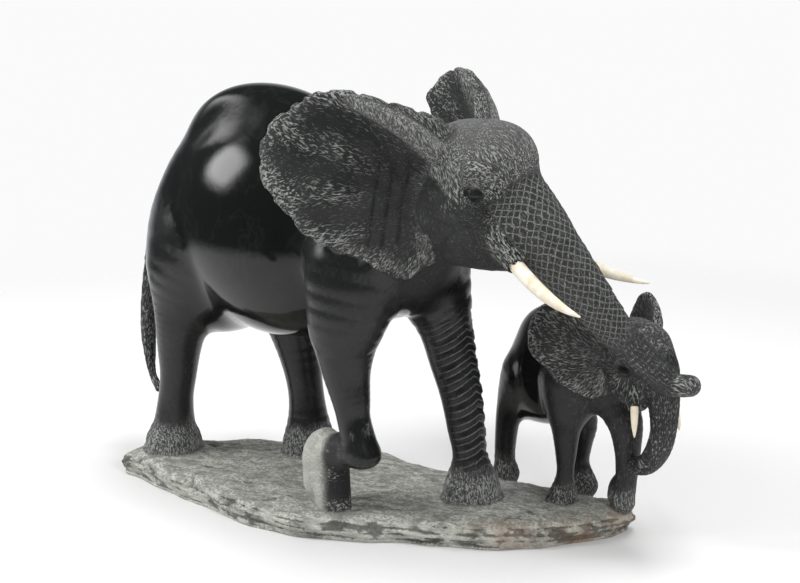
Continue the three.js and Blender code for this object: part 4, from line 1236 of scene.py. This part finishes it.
    def calf_trunk(self, made: Surface, here: Array, form: Form) -> None:
        """Rings all the way down.

        Args:
            made: the values of the surface, filled in.
            here: numbers of the points that belong to the form.
            form: the form that they belong to.
        """
        _, place, _, _ = self.limb_values(made, here, form)
        p = made.points[here]
        rings = np.cos(2 * np.pi * (place + grains(p, 9, 30)) / 5.2)
        made.matte[here] = 1.0
        made.pale[here] = 0.35 + 0.25 * smooth_step(0.3, 1.0, rings)
        made.relief[here] = -0.4 * pulse(rings, 0.1)

    def calf_ear(self, made: Surface, here: Array, form: Form) -> None:
        """Radial cuts out to the rim.

        Args:
            made: the values of the surface, filled in.
            here: numbers of the points that belong to the form.
            form: the form that they belong to.
        """
        turn, _, rim = self.ear_values(made, here, form)
        p = made.points[here]
        edge = smooth_step(-16, -2, rim)
        made.matte[here] = 1.0
        made.pale[here] = 0.55 + 0.3 * edge
        cuts = np.cos(turn * 44 + 4 * grains(p, 12, 31))
        flutes = 0.4 * np.cos(turn * 12 + 2 * grains(p, 30, 32))
        made.relief[here] = -0.3 * pulse(cuts, 0.1) + flutes + 0.2 * grains(p, 5, 33)


@dataclass
class StoneCarving:
    """The one block of stone, refined from the frame's solid and carved."""

    voxel: float = 1.9
    quick_voxel: float = 3.0
    faces: int = 194000
    passes: int = 3
    reach: float = 2.2

    def copy_solid(self, node: bpy.types.Object) -> bpy.types.Object:
        """A copy of the frame's solid with its points joined.

        Args:
            node: the frame's node.

        Returns:
            The new object.
        """
        mesh = bpy.data.meshes.new("stone_carving")
        bm = bmesh.new()
        bm.from_mesh(node.data)
        bmesh.ops.remove_doubles(bm, verts=bm.verts, dist=1e-5)
        bm.to_mesh(mesh)
        bm.free()
        piece = bpy.data.objects.new("stone_carving", mesh)
        bpy.context.scene.collection.objects.link(piece)
        return piece

    def apply(self, piece: bpy.types.Object, kind: str, **settings: object) -> None:
        """Adds one modifier and applies it.

        Args:
            piece: the object.
            kind: the modifier's type.
            settings: its properties.
        """
        bpy.ops.object.select_all(action="DESELECT")
        bpy.context.view_layer.objects.active = piece
        piece.select_set(True)
        modifier = piece.modifiers.new(kind.lower(), kind)
        for name, value in settings.items():
            setattr(modifier, name, value)
        bpy.ops.object.modifier_apply(modifier=modifier.name)

    @staticmethod
    def points(mesh: bpy.types.Mesh) -> Array:
        """Places of all points, in millimetres.

        Args:
            mesh: the mesh.

        Returns:
            One row per point.
        """
        co = np.zeros(len(mesh.vertices) * 3)
        mesh.vertices.foreach_get("co", co)
        return co.reshape(-1, 3) / MM

    @staticmethod
    def normals(mesh: bpy.types.Mesh) -> Array:
        """Outward directions at all points.

        Args:
            mesh: the mesh.

        Returns:
            One row per point.
        """
        out = np.zeros(len(mesh.vertices) * 3)
        mesh.vertex_normals.foreach_get("vector", out)
        return out.reshape(-1, 3)

    def place(self, mesh: bpy.types.Mesh, points: Array) -> None:
        """Moves all points, given in millimetres."""
        mesh.vertices.foreach_set("co", (points * MM).ravel())
        mesh.update()

    def settle(self, mesh: bpy.types.Mesh, block: Block) -> None:
        """Moves the points along their normals onto the smooth forms.

        Args:
            mesh: the mesh.
            block: the smooth forms.
        """
        start = self.points(mesh)
        p = start.copy()
        for _ in range(self.passes):
            n = self.normals(mesh)
            here = block.distance(p)
            slope = (block.distance(p + 0.5 * n) - here) / 0.5
            step = -here / np.where(np.abs(slope) < 0.35, np.where(slope < 0, -0.35, 0.35), slope)
            p = p + np.clip(step, -1.6, 1.6)[:, None] * n
            off = p - start
            far = np.linalg.norm(off, axis=1)
            p = start + off * np.minimum(1.0, self.reach / np.maximum(far, 1e-9))[:, None]
            low = start[:, 2] < 0.4
            p[low] = start[low]
            p[:, 2] = np.maximum(p[:, 2], 0.0)
            self.place(mesh, p)

    def dress(self, mesh: bpy.types.Mesh, made: Surface) -> None:
        """Writes the values that the material reads.

        Args:
            mesh: the mesh.
            made: what is known about its points.
        """
        groups = {
            "stroke": made.stroke * MM,
            "lattice": made.lattice,
            "finish": np.column_stack([made.matte, made.pale, made.rough]),
            # Rust, the depth of each cut, which the material turns into painted shade, and dust with painted
            # light.
            "stain_and_painted_light": np.column_stack([made.rust, np.clip(-made.relief, 0, 2), made.dust_and_painted_light]),
        }
        for name, values in groups.items():
            layer = mesh.attributes.new(name, "FLOAT_VECTOR", "POINT")
            layer.data.foreach_set("vector", values.astype(np.float32).ravel())

    def build(self, node: bpy.types.Object, low: Array, high: Array) -> bpy.types.Object:
        """Makes the carved piece.

        Args:
            node: the frame's solid.
            low: the lowest corner that the piece may reach, in millimetres.
            high: the highest corner.

        Returns:
            The finished object.
        """
        piece = self.copy_solid(node)
        voxel = self.voxel
        self.apply(piece, "REMESH", mode="VOXEL", voxel_size=voxel * MM)
        mesh = piece.data
        log.info("refined stone: %d points", len(mesh.vertices))
        block = Block()
        self.settle(mesh, block)
        log.info("settled")
        chisel = Chisel(block)
        made = chisel.survey(self.points(mesh))
        p = self.points(mesh) + made.relief[:, None] * self.normals(mesh)
        p = np.clip(p, low, high)
        self.place(mesh, p)
        log.info("carved")
        triangles = sum(len(f.vertices) - 2 for f in mesh.polygons)
        if triangles > self.faces:
            self.apply(piece, "TRIANGULATE")
            self.apply(piece, "DECIMATE", ratio=self.faces / triangles)
        mesh = piece.data
        log.info("stone triangles: %d", len(mesh.polygons))
        p = np.clip(self.points(mesh), low, high)
        self.place(mesh, p)
        made = chisel.survey(p)
        self.dress(mesh, made)
        mesh.polygons.foreach_set("use_smooth", np.ones(len(mesh.polygons), bool))
        mesh.update()
        own = self.normals(mesh)
        smooth = block.gradient(p)
        share = smooth_step(0.25, 0.05, np.maximum(made.matte, made.rough))[:, None]
        share = share * (np.einsum("ij,ij->i", own, smooth) > 0.7)[:, None]
        mix = own * (1 - share) + smooth * share
        mix /= np.linalg.norm(mix, axis=1)[:, None]
        mesh.normals_split_custom_set_from_vertices(mix.tolist())
        return piece


class Nodes:
    """A short way to lay out a node tree."""

    def __init__(self, tree: bpy.types.NodeTree) -> None:
        """Keeps the tree."""
        self.tree = tree

    def add(self, kind: str, inputs: Optional[dict[object, object]] = None,
            **settings: object) -> bpy.types.Node:
        """Adds a node, sets its properties, and links or sets its inputs.

        Args:
            kind: the node's type.
            inputs: socket by name or number, and the socket to link or the value to set.
            settings: the node's own properties.

        Returns:
            The node.
        """
        node = self.tree.nodes.new(kind)
        for name, value in settings.items():
            setattr(node, name, value)
        for key, value in (inputs or {}).items():
            socket = node.inputs[key]
            if isinstance(value, bpy.types.NodeSocket):
                self.tree.links.new(value, socket)
            else:
                socket.default_value = value
        return node

    def math(self, operation: str, *values: object) -> bpy.types.NodeSocket:
        """The result of a sum on sockets or numbers."""
        return self.add("ShaderNodeMath", dict(enumerate(values)), operation=operation).outputs[0]

    def mix(self, share: object, a: object, b: object) -> bpy.types.NodeSocket:
        """A mix of two colours.

        Args:
            share: how much of the second colour.
            a: the first colour.
            b: the second colour.

        Returns:
            The mixed colour.
        """
        node = self.add("ShaderNodeMix", data_type="RGBA", clamp_factor=True)
        for key, value in ((0, share), (6, a), (7, b)):
            socket = node.inputs[key]
            if isinstance(value, bpy.types.NodeSocket):
                self.tree.links.new(value, socket)
            else:
                socket.default_value = value
        return node.outputs[2]

    def ramp(self, value: object, low: float, high: float, start: float = 0.0,
             stop: float = 1.0) -> bpy.types.NodeSocket:
        """A value stretched from one range to another, held at its ends.

        Args:
            value: the value.
            low: start of its range.
            high: end of its range.
            start: result at the start.
            stop: result at the end.

        Returns:
            The result.
        """
        node = self.add("ShaderNodeMapRange", {0: value, 1: low, 2: high, 3: start, 4: stop},
                        interpolation_type="SMOOTHSTEP")
        return node.outputs[0]


def new_group(name: str, inputs: dict[str, tuple[str, object]], outputs: dict[str, str]) -> tuple[
        bpy.types.NodeTree, Nodes, bpy.types.Node, bpy.types.Node]:
    """An empty shader node group with named sockets.

    Args:
        name: the group's name.
        inputs: type and first value of each input.
        outputs: type of each output.

    Returns:
        The tree, its layout helper, and its input and output nodes.
    """
    tree = bpy.data.node_groups.new(name, "ShaderNodeTree")
    for label, (kind, value) in inputs.items():
        socket = tree.interface.new_socket(label, in_out="INPUT", socket_type=kind)
        if value is not None:
            socket.default_value = value
    for label, kind in outputs.items():
        tree.interface.new_socket(label, in_out="OUTPUT", socket_type=kind)
    nodes = Nodes(tree)
    return tree, nodes, nodes.add("NodeGroupInput"), nodes.add("NodeGroupOutput")


class Effects:
    """Node groups that more than one finish uses."""

    def __init__(self) -> None:
        """Builds each group once."""
        self.strokes = self.make_strokes()
        self.grain = self.make_grain()

    @staticmethod
    def make_strokes() -> bpy.types.NodeTree:
        """Short cuts of a flat chisel: a mask that is 1 in the strokes, and their height.

        Returns:
            The group's tree.
        """
        tree, n, start, end = new_group(
            "ChiselStrokes",
            {"Vector": ("NodeSocketVector", None), "Scale": ("NodeSocketFloat", 850.0),
             "Amount": ("NodeSocketFloat", 0.5)},
            {"Mask": "NodeSocketFloat", "Height": "NodeSocketFloat"},
        )
        cuts = []
        for turn, offset in ((-0.14, 0.0), (0.3, 3.7)):
            mapped = n.add("ShaderNodeMapping", {
                "Vector": start.outputs["Vector"], "Rotation": (0.0, turn, 0.4 * turn),
                "Location": (offset, offset, offset), "Scale": (1.0, 1.0, 3.0),
            })
            stretch = {0: mapped.outputs[0], 1: (1.0, 1.0, 0.16)}
            drawn = n.add("ShaderNodeVectorMath", stretch, operation="MULTIPLY")
            noise = n.add("ShaderNodeTexNoise", {"Vector": drawn.outputs[0], "Scale": start.outputs["Scale"],
                                                 "Detail": 1.0, "Roughness": 0.5})
            share = n.math("MULTIPLY_ADD", start.outputs["Amount"], 0.15, noise.outputs[0])
            cuts.append(n.ramp(share, 0.63, 0.8))
        most = n.math("MAXIMUM", cuts[0], cuts[1])
        clamped = n.add("ShaderNodeClamp", {0: most}).outputs[0]
        n.tree.links.new(clamped, end.inputs["Mask"])
        n.tree.links.new(most, end.inputs["Height"])
        return tree

    @staticmethod
    def make_grain() -> bpy.types.NodeTree:
        """Fine grain and slow change of tone through the stone.

        Returns:
            The group's tree.
        """
        tree, n, start, end = new_group(
            "StoneGrain",
            {"Vector": ("NodeSocketVector", None), "Fine": ("NodeSocketFloat", 900.0),
             "Broad": ("NodeSocketFloat", 22.0)},
            {"Fine": "NodeSocketFloat", "Broad": "NodeSocketFloat", "Veins": "NodeSocketFloat"},
        )
        place = start.outputs["Vector"]
        fine = n.add("ShaderNodeTexNoise", {"Vector": place, "Scale": start.outputs["Fine"], "Detail": 3.0})
        broad = n.add("ShaderNodeTexNoise", {"Vector": place, "Scale": start.outputs["Broad"],
                                             "Detail": 4.0, "Distortion": 0.6})
        veins = n.math("ABSOLUTE", n.math("SUBTRACT", broad.outputs[0], 0.5))
        n.tree.links.new(fine.outputs[0], end.inputs["Fine"])
        n.tree.links.new(broad.outputs[0], end.inputs["Broad"])
        n.tree.links.new(n.ramp(veins, 0.0, 0.03, 1.0, 0.0), end.inputs["Veins"])
        return tree


@dataclass(frozen=True)
class StoneFinish:
    """Colours and gloss of the dark stone: polished, cut by the chisel, and rough as the slab is."""

    polished: tuple[float, float, float, float] = (0.006, 0.0065, 0.0062, 1.0)
    carved: tuple[float, float, float, float] = (0.011, 0.012, 0.0115, 1.0)
    carved_light: tuple[float, float, float, float] = (0.024, 0.0255, 0.0245, 1.0)
    # Grey mixed into the carved stone: real dust on the feet, ear rims and trunk, and painted light on the
    # top of the cow's head.
    dusty_and_painted_light: tuple[float, float, float, float] = (0.062, 0.062, 0.062, 1.0)
    scratched: tuple[float, float, float, float] = (0.27, 0.28, 0.265, 1.0)
    slab_dark: tuple[float, float, float, float] = (0.15, 0.156, 0.14, 1.0)
    slab_pale: tuple[float, float, float, float] = (0.60, 0.605, 0.55, 1.0)
    # Painted shade: deep cuts and crevices are darkened as if shade fell in them.
    painted_crevice_shade: tuple[float, float, float, float] = (0.012, 0.013, 0.011, 1.0)
    rust: tuple[float, float, float, float] = (0.20, 0.095, 0.04, 1.0)
    vein: tuple[float, float, float, float] = (0.02, 0.022, 0.021, 1.0)
    gloss: float = 0.11
    matte: float = 0.62
    ior: float = 1.41

    def material(self, effects: Effects) -> bpy.types.Material:
        """Builds the stone material.

        Args:
            effects: the shared node groups.

        Returns:
            The material.
        """
        made = bpy.data.materials.new("dark_stone")
        made.use_nodes = True
        tree = made.node_tree
        tree.nodes.clear()
        n = Nodes(tree)
        shader = n.add("ShaderNodeBsdfPrincipled", {"IOR": self.ior})
        n.add("ShaderNodeOutputMaterial", {"Surface": shader.outputs[0]})
        read = {}
        for name in ("stroke", "lattice", "finish", "stain_and_painted_light"):
            read[name] = n.add("ShaderNodeAttribute", attribute_name=name).outputs["Vector"]
        finish = n.add("ShaderNodeSeparateXYZ", {0: read["finish"]}).outputs
        lattice = n.add("ShaderNodeSeparateXYZ", {0: read["lattice"]}).outputs
        stain_and_painted_light = n.add("ShaderNodeSeparateXYZ", {0: read["stain_and_painted_light"]}).outputs
        matte, pale, rough = finish[0], finish[1], finish[2]
        place = n.add("ShaderNodeTexCoord").outputs["Object"]
        along = read["stroke"]
        strokes = n.add("ShaderNodeGroup", {"Vector": along, "Amount": pale}, node_tree=effects.strokes)
        grain = n.add("ShaderNodeGroup", {"Vector": place}, node_tree=effects.grain)
        slab_sizes = {"Vector": along, "Fine": 620.0, "Broad": 130.0}
        slab_grain = n.add("ShaderNodeGroup", slab_sizes, node_tree=effects.grain)
        waver = n.add("ShaderNodeTexNoise", {"Vector": place, "Scale": 110.0, "Detail": 1.0}).outputs[0]
        dark = n.mix(n.math("MULTIPLY", grain.outputs["Veins"], 0.25), self.polished, self.vein)
        cut_face = n.mix(n.ramp(grain.outputs["Broad"], 0.3, 0.7), self.carved, self.carved_light)
        base = n.mix(matte, dark, cut_face)
        # Lighter where dusty: real dust on feet, rims and trunk, and painted light on the top of the cow's
        # head.
        base = n.mix(stain_and_painted_light[2], base, self.dusty_and_painted_light)
        # Painted shade: the deeper a cut, the darker it is painted.
        base = n.mix(n.ramp(stain_and_painted_light[1], 0.7, 1.8, 0.0, 0.8), base, self.painted_crevice_shade)
        turns = 2.0 * math.pi / LATTICE_PITCH
        waves = [n.math("COSINE", n.math("MULTIPLY", lattice[k], turns)) for k in (0, 1)]
        lines = n.math("MAXIMUM", n.ramp(waves[0], 0.68, 0.95), n.ramp(waves[1], 0.68, 0.95))
        broken = n.ramp(grain.outputs["Fine"], 0.36, 0.62, 0.15, 1.0)
        lines = n.math("MULTIPLY", n.math("MULTIPLY", lines, lattice[2]), broken)
        shown = n.math("MULTIPLY", matte, n.ramp(pale, 0.0, 0.7, 0.0, 1.0))
        cuts = n.math("MULTIPLY", strokes.outputs["Mask"], shown)
        cuts = n.math("MAXIMUM", cuts, n.math("MULTIPLY", lines, 0.75))
        carved = n.mix(cuts, base, self.scratched)
        bands = n.ramp(slab_grain.outputs["Broad"], 0.3, 0.7, 0.15, 0.85)
        slab = n.mix(bands, self.slab_dark, self.slab_pale)
        slab = n.mix(n.ramp(slab_grain.outputs["Fine"], 0.42, 0.64, 0.0, 0.8), slab, self.slab_dark)
        # Painted light: the slab's sides are paled, as if lit from the front.
        slab = n.mix(n.math("MULTIPLY", stain_and_painted_light[2], 0.5), slab, self.slab_pale)
        # Painted shade in the slab's deep crevices.
        slab = n.mix(n.ramp(stain_and_painted_light[1], 1.2, 2.0, 0.0, 0.7), slab, self.painted_crevice_shade)
        rusty = n.math("MULTIPLY", stain_and_painted_light[0], n.ramp(grain.outputs["Broad"], 0.35, 0.6, 0.2, 0.8))
        slab = n.mix(rusty, slab, self.rust)
        colour = n.mix(rough, carved, slab)
        gloss = n.math("MULTIPLY_ADD", matte, self.matte - self.gloss, self.gloss)
        gloss = n.math("MULTIPLY_ADD", n.math("MAXIMUM", cuts, rough), 0.2, gloss)
        height = n.math("MULTIPLY", n.math("MULTIPLY", strokes.outputs["Height"], matte), -0.7)
        shiny = n.math("SUBTRACT", 1.0, matte)
        layers = (
            (lines, matte, -0.4), (slab_grain.outputs["Fine"], rough, 1.2),
            (grain.outputs["Fine"], matte, 0.35), (waver, shiny, 0.1),
        )
        for value, where, much in layers:
            height = n.math("ADD", height, n.math("MULTIPLY", n.math("MULTIPLY", value, where), much))
        bump = n.add("ShaderNodeBump", {"Height": height, "Strength": 0.8, "Distance": 0.0011})
        for name, value in (("Base Color", colour), ("Roughness", gloss), ("Normal", bump.outputs[0])):
            tree.links.new(value, shader.inputs[name])
        return made


@dataclass(frozen=True)
class TuskFinish:
    """Colours and gloss of the ivory-coloured tusks."""

    pale: tuple[float, float, float, float] = (0.80, 0.76, 0.66, 1.0)
    shade: tuple[float, float, float, float] = (0.58, 0.49, 0.34, 1.0)
    ior: float = 1.5
    glow: float = 0.1

    def material(self, effects: Effects) -> bpy.types.Material:
        """Builds the tusk material.

        Args:
            effects: the shared node groups.

        Returns:
            The material.
        """
        made = bpy.data.materials.new("ivory_coloured")
        made.use_nodes = True
        tree = made.node_tree
        tree.nodes.clear()
        n = Nodes(tree)
        shader = n.add("ShaderNodeBsdfPrincipled", {
            "IOR": self.ior, "Subsurface Weight": self.glow, "Subsurface Scale": 0.004,
        })
        n.add("ShaderNodeOutputMaterial", {"Surface": shader.outputs[0]})
        place = n.add("ShaderNodeTexCoord").outputs["Object"]
        sizes = {"Vector": place, "Fine": 1100.0, "Broad": 60.0}
        grain = n.add("ShaderNodeGroup", sizes, node_tree=effects.grain)
        colour = n.mix(n.ramp(grain.outputs["Broad"], 0.3, 0.75), self.pale, self.shade)
        colour = n.mix(n.math("MULTIPLY", grain.outputs["Veins"], 0.3), colour, self.shade)
        fine = grain.outputs["Fine"]
        bump = n.add("ShaderNodeBump", {"Height": fine, "Strength": 0.25, "Distance": 0.0003})
        gloss = n.ramp(grain.outputs["Fine"], 0.3, 0.7, 0.3, 0.42)
        for name, value in (("Base Color", colour), ("Roughness", gloss), ("Normal", bump.outputs[0])):
            tree.links.new(value, shader.inputs[name])
        return made


@dataclass
class Tusks:
    """The four pegs, each spun up from a ring of points along its own curve."""

    sides: int = 32
    rings: int = 28

    def build(self, name: str) -> bpy.types.Object:
        """Models one tusk: a cylinder is cut into rings and each ring is set on the curve.

        Args:
            name: the tusk.

        Returns:
            The finished object.
        """
        _, _, _, length, diameter, _ = TUSKS[name]
        bpy.ops.object.select_all(action="DESELECT")
        radius = 0.5 * diameter * MM
        bpy.ops.mesh.primitive_cylinder_add(vertices=self.sides, radius=radius, depth=length * MM)
        piece = bpy.context.active_object
        piece.name = piece.data.name = name.replace("tusk", "ivory_tusk")
        bpy.ops.object.mode_set(mode="EDIT")
        bpy.ops.mesh.select_all(action="DESELECT")
        bm = bmesh.from_edit_mesh(piece.data)
        for edge in bm.edges:
            edge.select = abs(edge.verts[0].co.z - edge.verts[1].co.z) > 0.5 * length * MM
        bmesh.update_edit_mesh(piece.data)
        bpy.ops.mesh.subdivide(number_cuts=self.rings)
        bpy.ops.mesh.select_all(action="DESELECT")
        bm = bmesh.from_edit_mesh(piece.data)
        for face in bm.faces:
            face.select = len(face.verts) == self.sides
        bmesh.update_edit_mesh(piece.data)
        bpy.ops.mesh.inset(thickness=0.12 * diameter * MM)
        bpy.ops.mesh.poke()
        bpy.ops.object.mode_set(mode="OBJECT")
        mesh = piece.data
        co = np.zeros(len(mesh.vertices) * 3)
        mesh.vertices.foreach_get("co", co)
        co = co.reshape(-1, 3) / MM
        share = np.clip(co[:, 2] / length + 0.5, 0, 1)
        taper = np.array(TUSK_TAPER)
        centre = tusk_curve(name, share)
        along = tusk_curve(name, np.clip(share + 0.01, 0, 1.01)) - tusk_curve(name, share - 0.01)
        along /= np.linalg.norm(along, axis=1)[:, None]
        across = np.cross([0.0, 0.0, 1.0], along)
        across /= np.linalg.norm(across, axis=1)[:, None]
        over = np.cross(along, across)
        size = np.interp(share, taper[:, 0], taper[:, 1]) * 0.995
        p = centre + across * (co[:, 0] * size)[:, None] + over * (co[:, 1] * size)[:, None]
        mesh.vertices.foreach_set("co", (p * MM).ravel())
        mesh.update()
        bpy.ops.object.mode_set(mode="EDIT")
        bpy.ops.mesh.select_all(action="SELECT")
        bpy.ops.mesh.normals_make_consistent(inside=False)
        bpy.ops.object.mode_set(mode="OBJECT")
        bpy.ops.object.shade_smooth_by_angle(angle=math.radians(50))
        return piece


@dataclass
class Studio:
    """A pale table, a dark room above it and soft lamps."""

    lens: float = 94.05
    target: tuple[float, float, float] = (0.05, -0.005, 0.25)
    stand: tuple[float, float, float] = (1.4993, -1.5592, 0.8194)
    backdrop: tuple[float, float, float] = (-0.68, 0.73, 0.0)
    dark_ceiling: tuple[float, float, float, float] = (0.075, 0.077, 0.082, 1.0)
    pale_wall: tuple[float, float, float, float] = (0.78, 0.78, 0.82, 1.0)
    soft_fill: tuple[float, float, float, float] = (0.6, 0.6, 0.6, 1.0)
    seen_wall: tuple[float, float, float, float] = (0.96, 0.96, 0.965, 1.0)
    table_tone: tuple[float, float, float, float] = (0.69, 0.69, 0.69, 1.0)
    table_radius: float = 1.25

    def camera(self) -> None:
        """Sets the camera at the photograph's angle."""
        data = bpy.data.cameras.new("camera")
        data.lens = self.lens
        data.sensor_width = 36.0
        data.clip_end = 100.0
        camera = bpy.data.objects.new("camera", data)
        camera.location = self.stand
        aim = Vector(self.target) - Vector(self.stand)
        camera.rotation_euler = aim.to_track_quat("-Z", "Y").to_euler()
        bpy.context.scene.collection.objects.link(camera)
        bpy.context.scene.camera = camera

    def lamp(self, name: str, at: tuple[float, float, float], size: tuple[float, float], power: float,
             aim: tuple[float, float, float]) -> None:
        """Adds one soft box that lights but isn't seen in the polish.

        Args:
            name: its name.
            at: its place.
            size: width and height, in metres.
            power: in watts.
            aim: the point it faces.
        """
        data = bpy.data.lights.new(name, "AREA")
        data.shape = "RECTANGLE"
        data.size, data.size_y = size
        data.energy = power
        lamp = bpy.data.objects.new(name, data)
        lamp.location = at
        lamp.rotation_euler = (Vector(aim) - Vector(at)).to_track_quat("-Z", "Y").to_euler()
        lamp.visible_glossy = False
        bpy.context.scene.collection.objects.link(lamp)

    def card(self, name: str, at: tuple[float, float, float], size: tuple[float, float], glow: float,
             aim: tuple[float, float, float], soft: float = 0.45, roll: float = 0.0) -> None:
        """Adds one glowing card with soft edges that is seen only in the polish.

        Args:
            name: its name.
            at: its place.
            size: width and height, in metres.
            glow: its strength.
            aim: the point it faces.
            soft: share of its half width that fades.
            roll: turn about its own middle, in degrees.
        """
        bpy.ops.object.select_all(action="DESELECT")
        bpy.ops.mesh.primitive_grid_add(x_subdivisions=4, y_subdivisions=4, size=1.0)
        card = bpy.context.active_object
        card.name = name
        card.scale = (size[0], size[1], 1.0)
        card.location = at
        facing = (Vector(aim) - Vector(at)).to_track_quat("Z", "Y")
        card.rotation_euler = (facing @ Quaternion((0.0, 0.0, 1.0), math.radians(roll))).to_euler()
        made = bpy.data.materials.new(name)
        made.use_nodes = True
        made.node_tree.nodes.clear()
        n = Nodes(made.node_tree)
        uv = n.add("ShaderNodeTexCoord").outputs["UV"]
        middle = n.add("ShaderNodeVectorMath", {0: uv, 1: (0.5, 0.5, 0.0)}, operation="SUBTRACT").outputs[0]
        parts = n.add("ShaderNodeSeparateXYZ", {0: middle}).outputs
        across, along = (n.math("POWER", n.math("ABSOLUTE", parts[k]), 3.0) for k in (0, 1))
        corner = n.math("ADD", across, along)
        edge = n.ramp(n.math("POWER", corner, 1 / 3), 0.5 * (1 - soft), 0.5, 1.0, 0.0)
        strength = n.math("MULTIPLY", edge, glow)
        light = n.add("ShaderNodeEmission", {"Color": (1, 1, 1, 1), "Strength": strength})
        clear = n.add("ShaderNodeBsdfTransparent")
        both = n.add("ShaderNodeMixShader", {0: edge, 1: clear.outputs[0], 2: light.outputs[0]})
        n.add("ShaderNodeOutputMaterial", {"Surface": both.outputs[0]})
        card.data.materials.append(made)
        card.visible_camera = card.visible_diffuse = card.visible_shadow = False

    def room(self) -> None:
        """A white surround for the eye and the diffuse light, and a dark ceiling in reflections."""
        world = bpy.data.worlds.new("studio")
        world.use_nodes = True
        n = Nodes(world.node_tree)
        world.node_tree.nodes.clear()
        path = n.add("ShaderNodeLightPath")
        ray = n.add("ShaderNodeTexCoord").outputs["Generated"]
        facing = n.add("ShaderNodeVectorMath", {0: ray, 1: self.backdrop}, operation="DOT_PRODUCT")
        behind = facing.outputs["Value"]
        ceiling = n.mix(n.ramp(behind, 0.7, 0.98), self.dark_ceiling, self.pale_wall)
        tone = n.mix(path.outputs["Is Glossy Ray"], self.soft_fill, ceiling)
        tone = n.mix(path.outputs["Is Camera Ray"], tone, self.seen_wall)
        back = n.add("ShaderNodeBackground", {"Color": tone, "Strength": 1.0})
        n.add("ShaderNodeOutputWorld", {"Surface": back.outputs[0]})
        bpy.context.scene.world = world

    def table(self) -> bpy.types.Object:
        """The plain pale floor.

        Returns:
            The floor.
        """
        bpy.ops.object.select_all(action="DESELECT")
        bpy.ops.mesh.primitive_circle_add(
            vertices=96, radius=self.table_radius, fill_type="NGON", location=(0.0, 0.1, 0))
        floor = bpy.context.active_object
        floor.name = "table"
        made = bpy.data.materials.new("white_table")
        made.use_nodes = True
        shader = made.node_tree.nodes["Principled BSDF"]
        shader.inputs["Base Color"].default_value = self.table_tone
        shader.inputs["Roughness"].default_value = 0.9
        shader.inputs["Specular IOR Level"].default_value = 0.0
        n = Nodes(made.node_tree)
        place = n.add("ShaderNodeTexCoord").outputs["Object"]
        far = n.add("ShaderNodeVectorMath", {0: place}, operation="LENGTH")
        clear = n.add("ShaderNodeBsdfTransparent")
        ends = {0: n.ramp(far.outputs["Value"], 0.8, 1.2), 1: shader.outputs[0], 2: clear.outputs[0]}
        both = n.add("ShaderNodeMixShader", ends)
        made.node_tree.links.new(both.outputs[0], made.node_tree.nodes["Material Output"].inputs["Surface"])
        floor.data.materials.append(made)
        return floor

    def build(self) -> None:
        """Sets up camera, room, table and lamps."""
        self.camera()
        self.room()
        self.table()
        self.lamp("left_box", (-1.2, -1.3, 1.5), (0.7, 0.7), 38.0, (0.0, 0.0, 0.3))
        self.lamp("top_box", (0.25, 0.3, 2.1), (0.9, 0.9), 28.0, (0.05, 0, 0.2))
        self.lamp("front_box", (1.9, -0.7, 1.2), (0.6, 0.6), 18.0, (0.1, 0, 0.25))
        self.card("window_glow", (-1.24, -0.9, 1.12), (1.2, 1.3), 8.8, (-0.1, -0.1, 0.38), 0.6)
        self.card("side_glow", (-1.86, -0.12, 1.34), (1.6, 0.55), 3.0, (-0.1, 0, 0.4), 0.9, -53.0)
        self.card("front_glow", (1.7, -0.9, 1.3), (0.8, 0.8), 3.0, (0.1, 0, 0.25), 0.8)
        bpy.context.scene.view_settings.view_transform = "Standard"


def main() -> None:
    """Loads the frame, dresses each piece and sets up the studio."""
    logging.basicConfig(level=logging.INFO, format="%(name)s: %(message)s")
    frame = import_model()
    effects = Effects()
    stone = StoneFinish().material(effects)
    ivory = TuskFinish().material(effects)
    node_low, node_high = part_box("carved_stone")
    solid = frame["nodes"]["carved_stone"]
    carving = StoneCarving().build(solid, np.array(node_low) / MM, np.array(node_high) / MM)
    carving.data.materials.append(stone)
    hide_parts("carved_stone")
    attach(carving, "root")
    log.info("dressed %s", carving.name)
    maker = Tusks()
    for name in TUSKS:
        tusk = maker.build(name)
        tusk.data.materials.clear()
        tusk.data.materials.append(ivory)
        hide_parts(name)
        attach(tusk, "root")
        log.info("dressed %s", tusk.name)
    Studio().build()


if __name__ == "__main__":
    main()
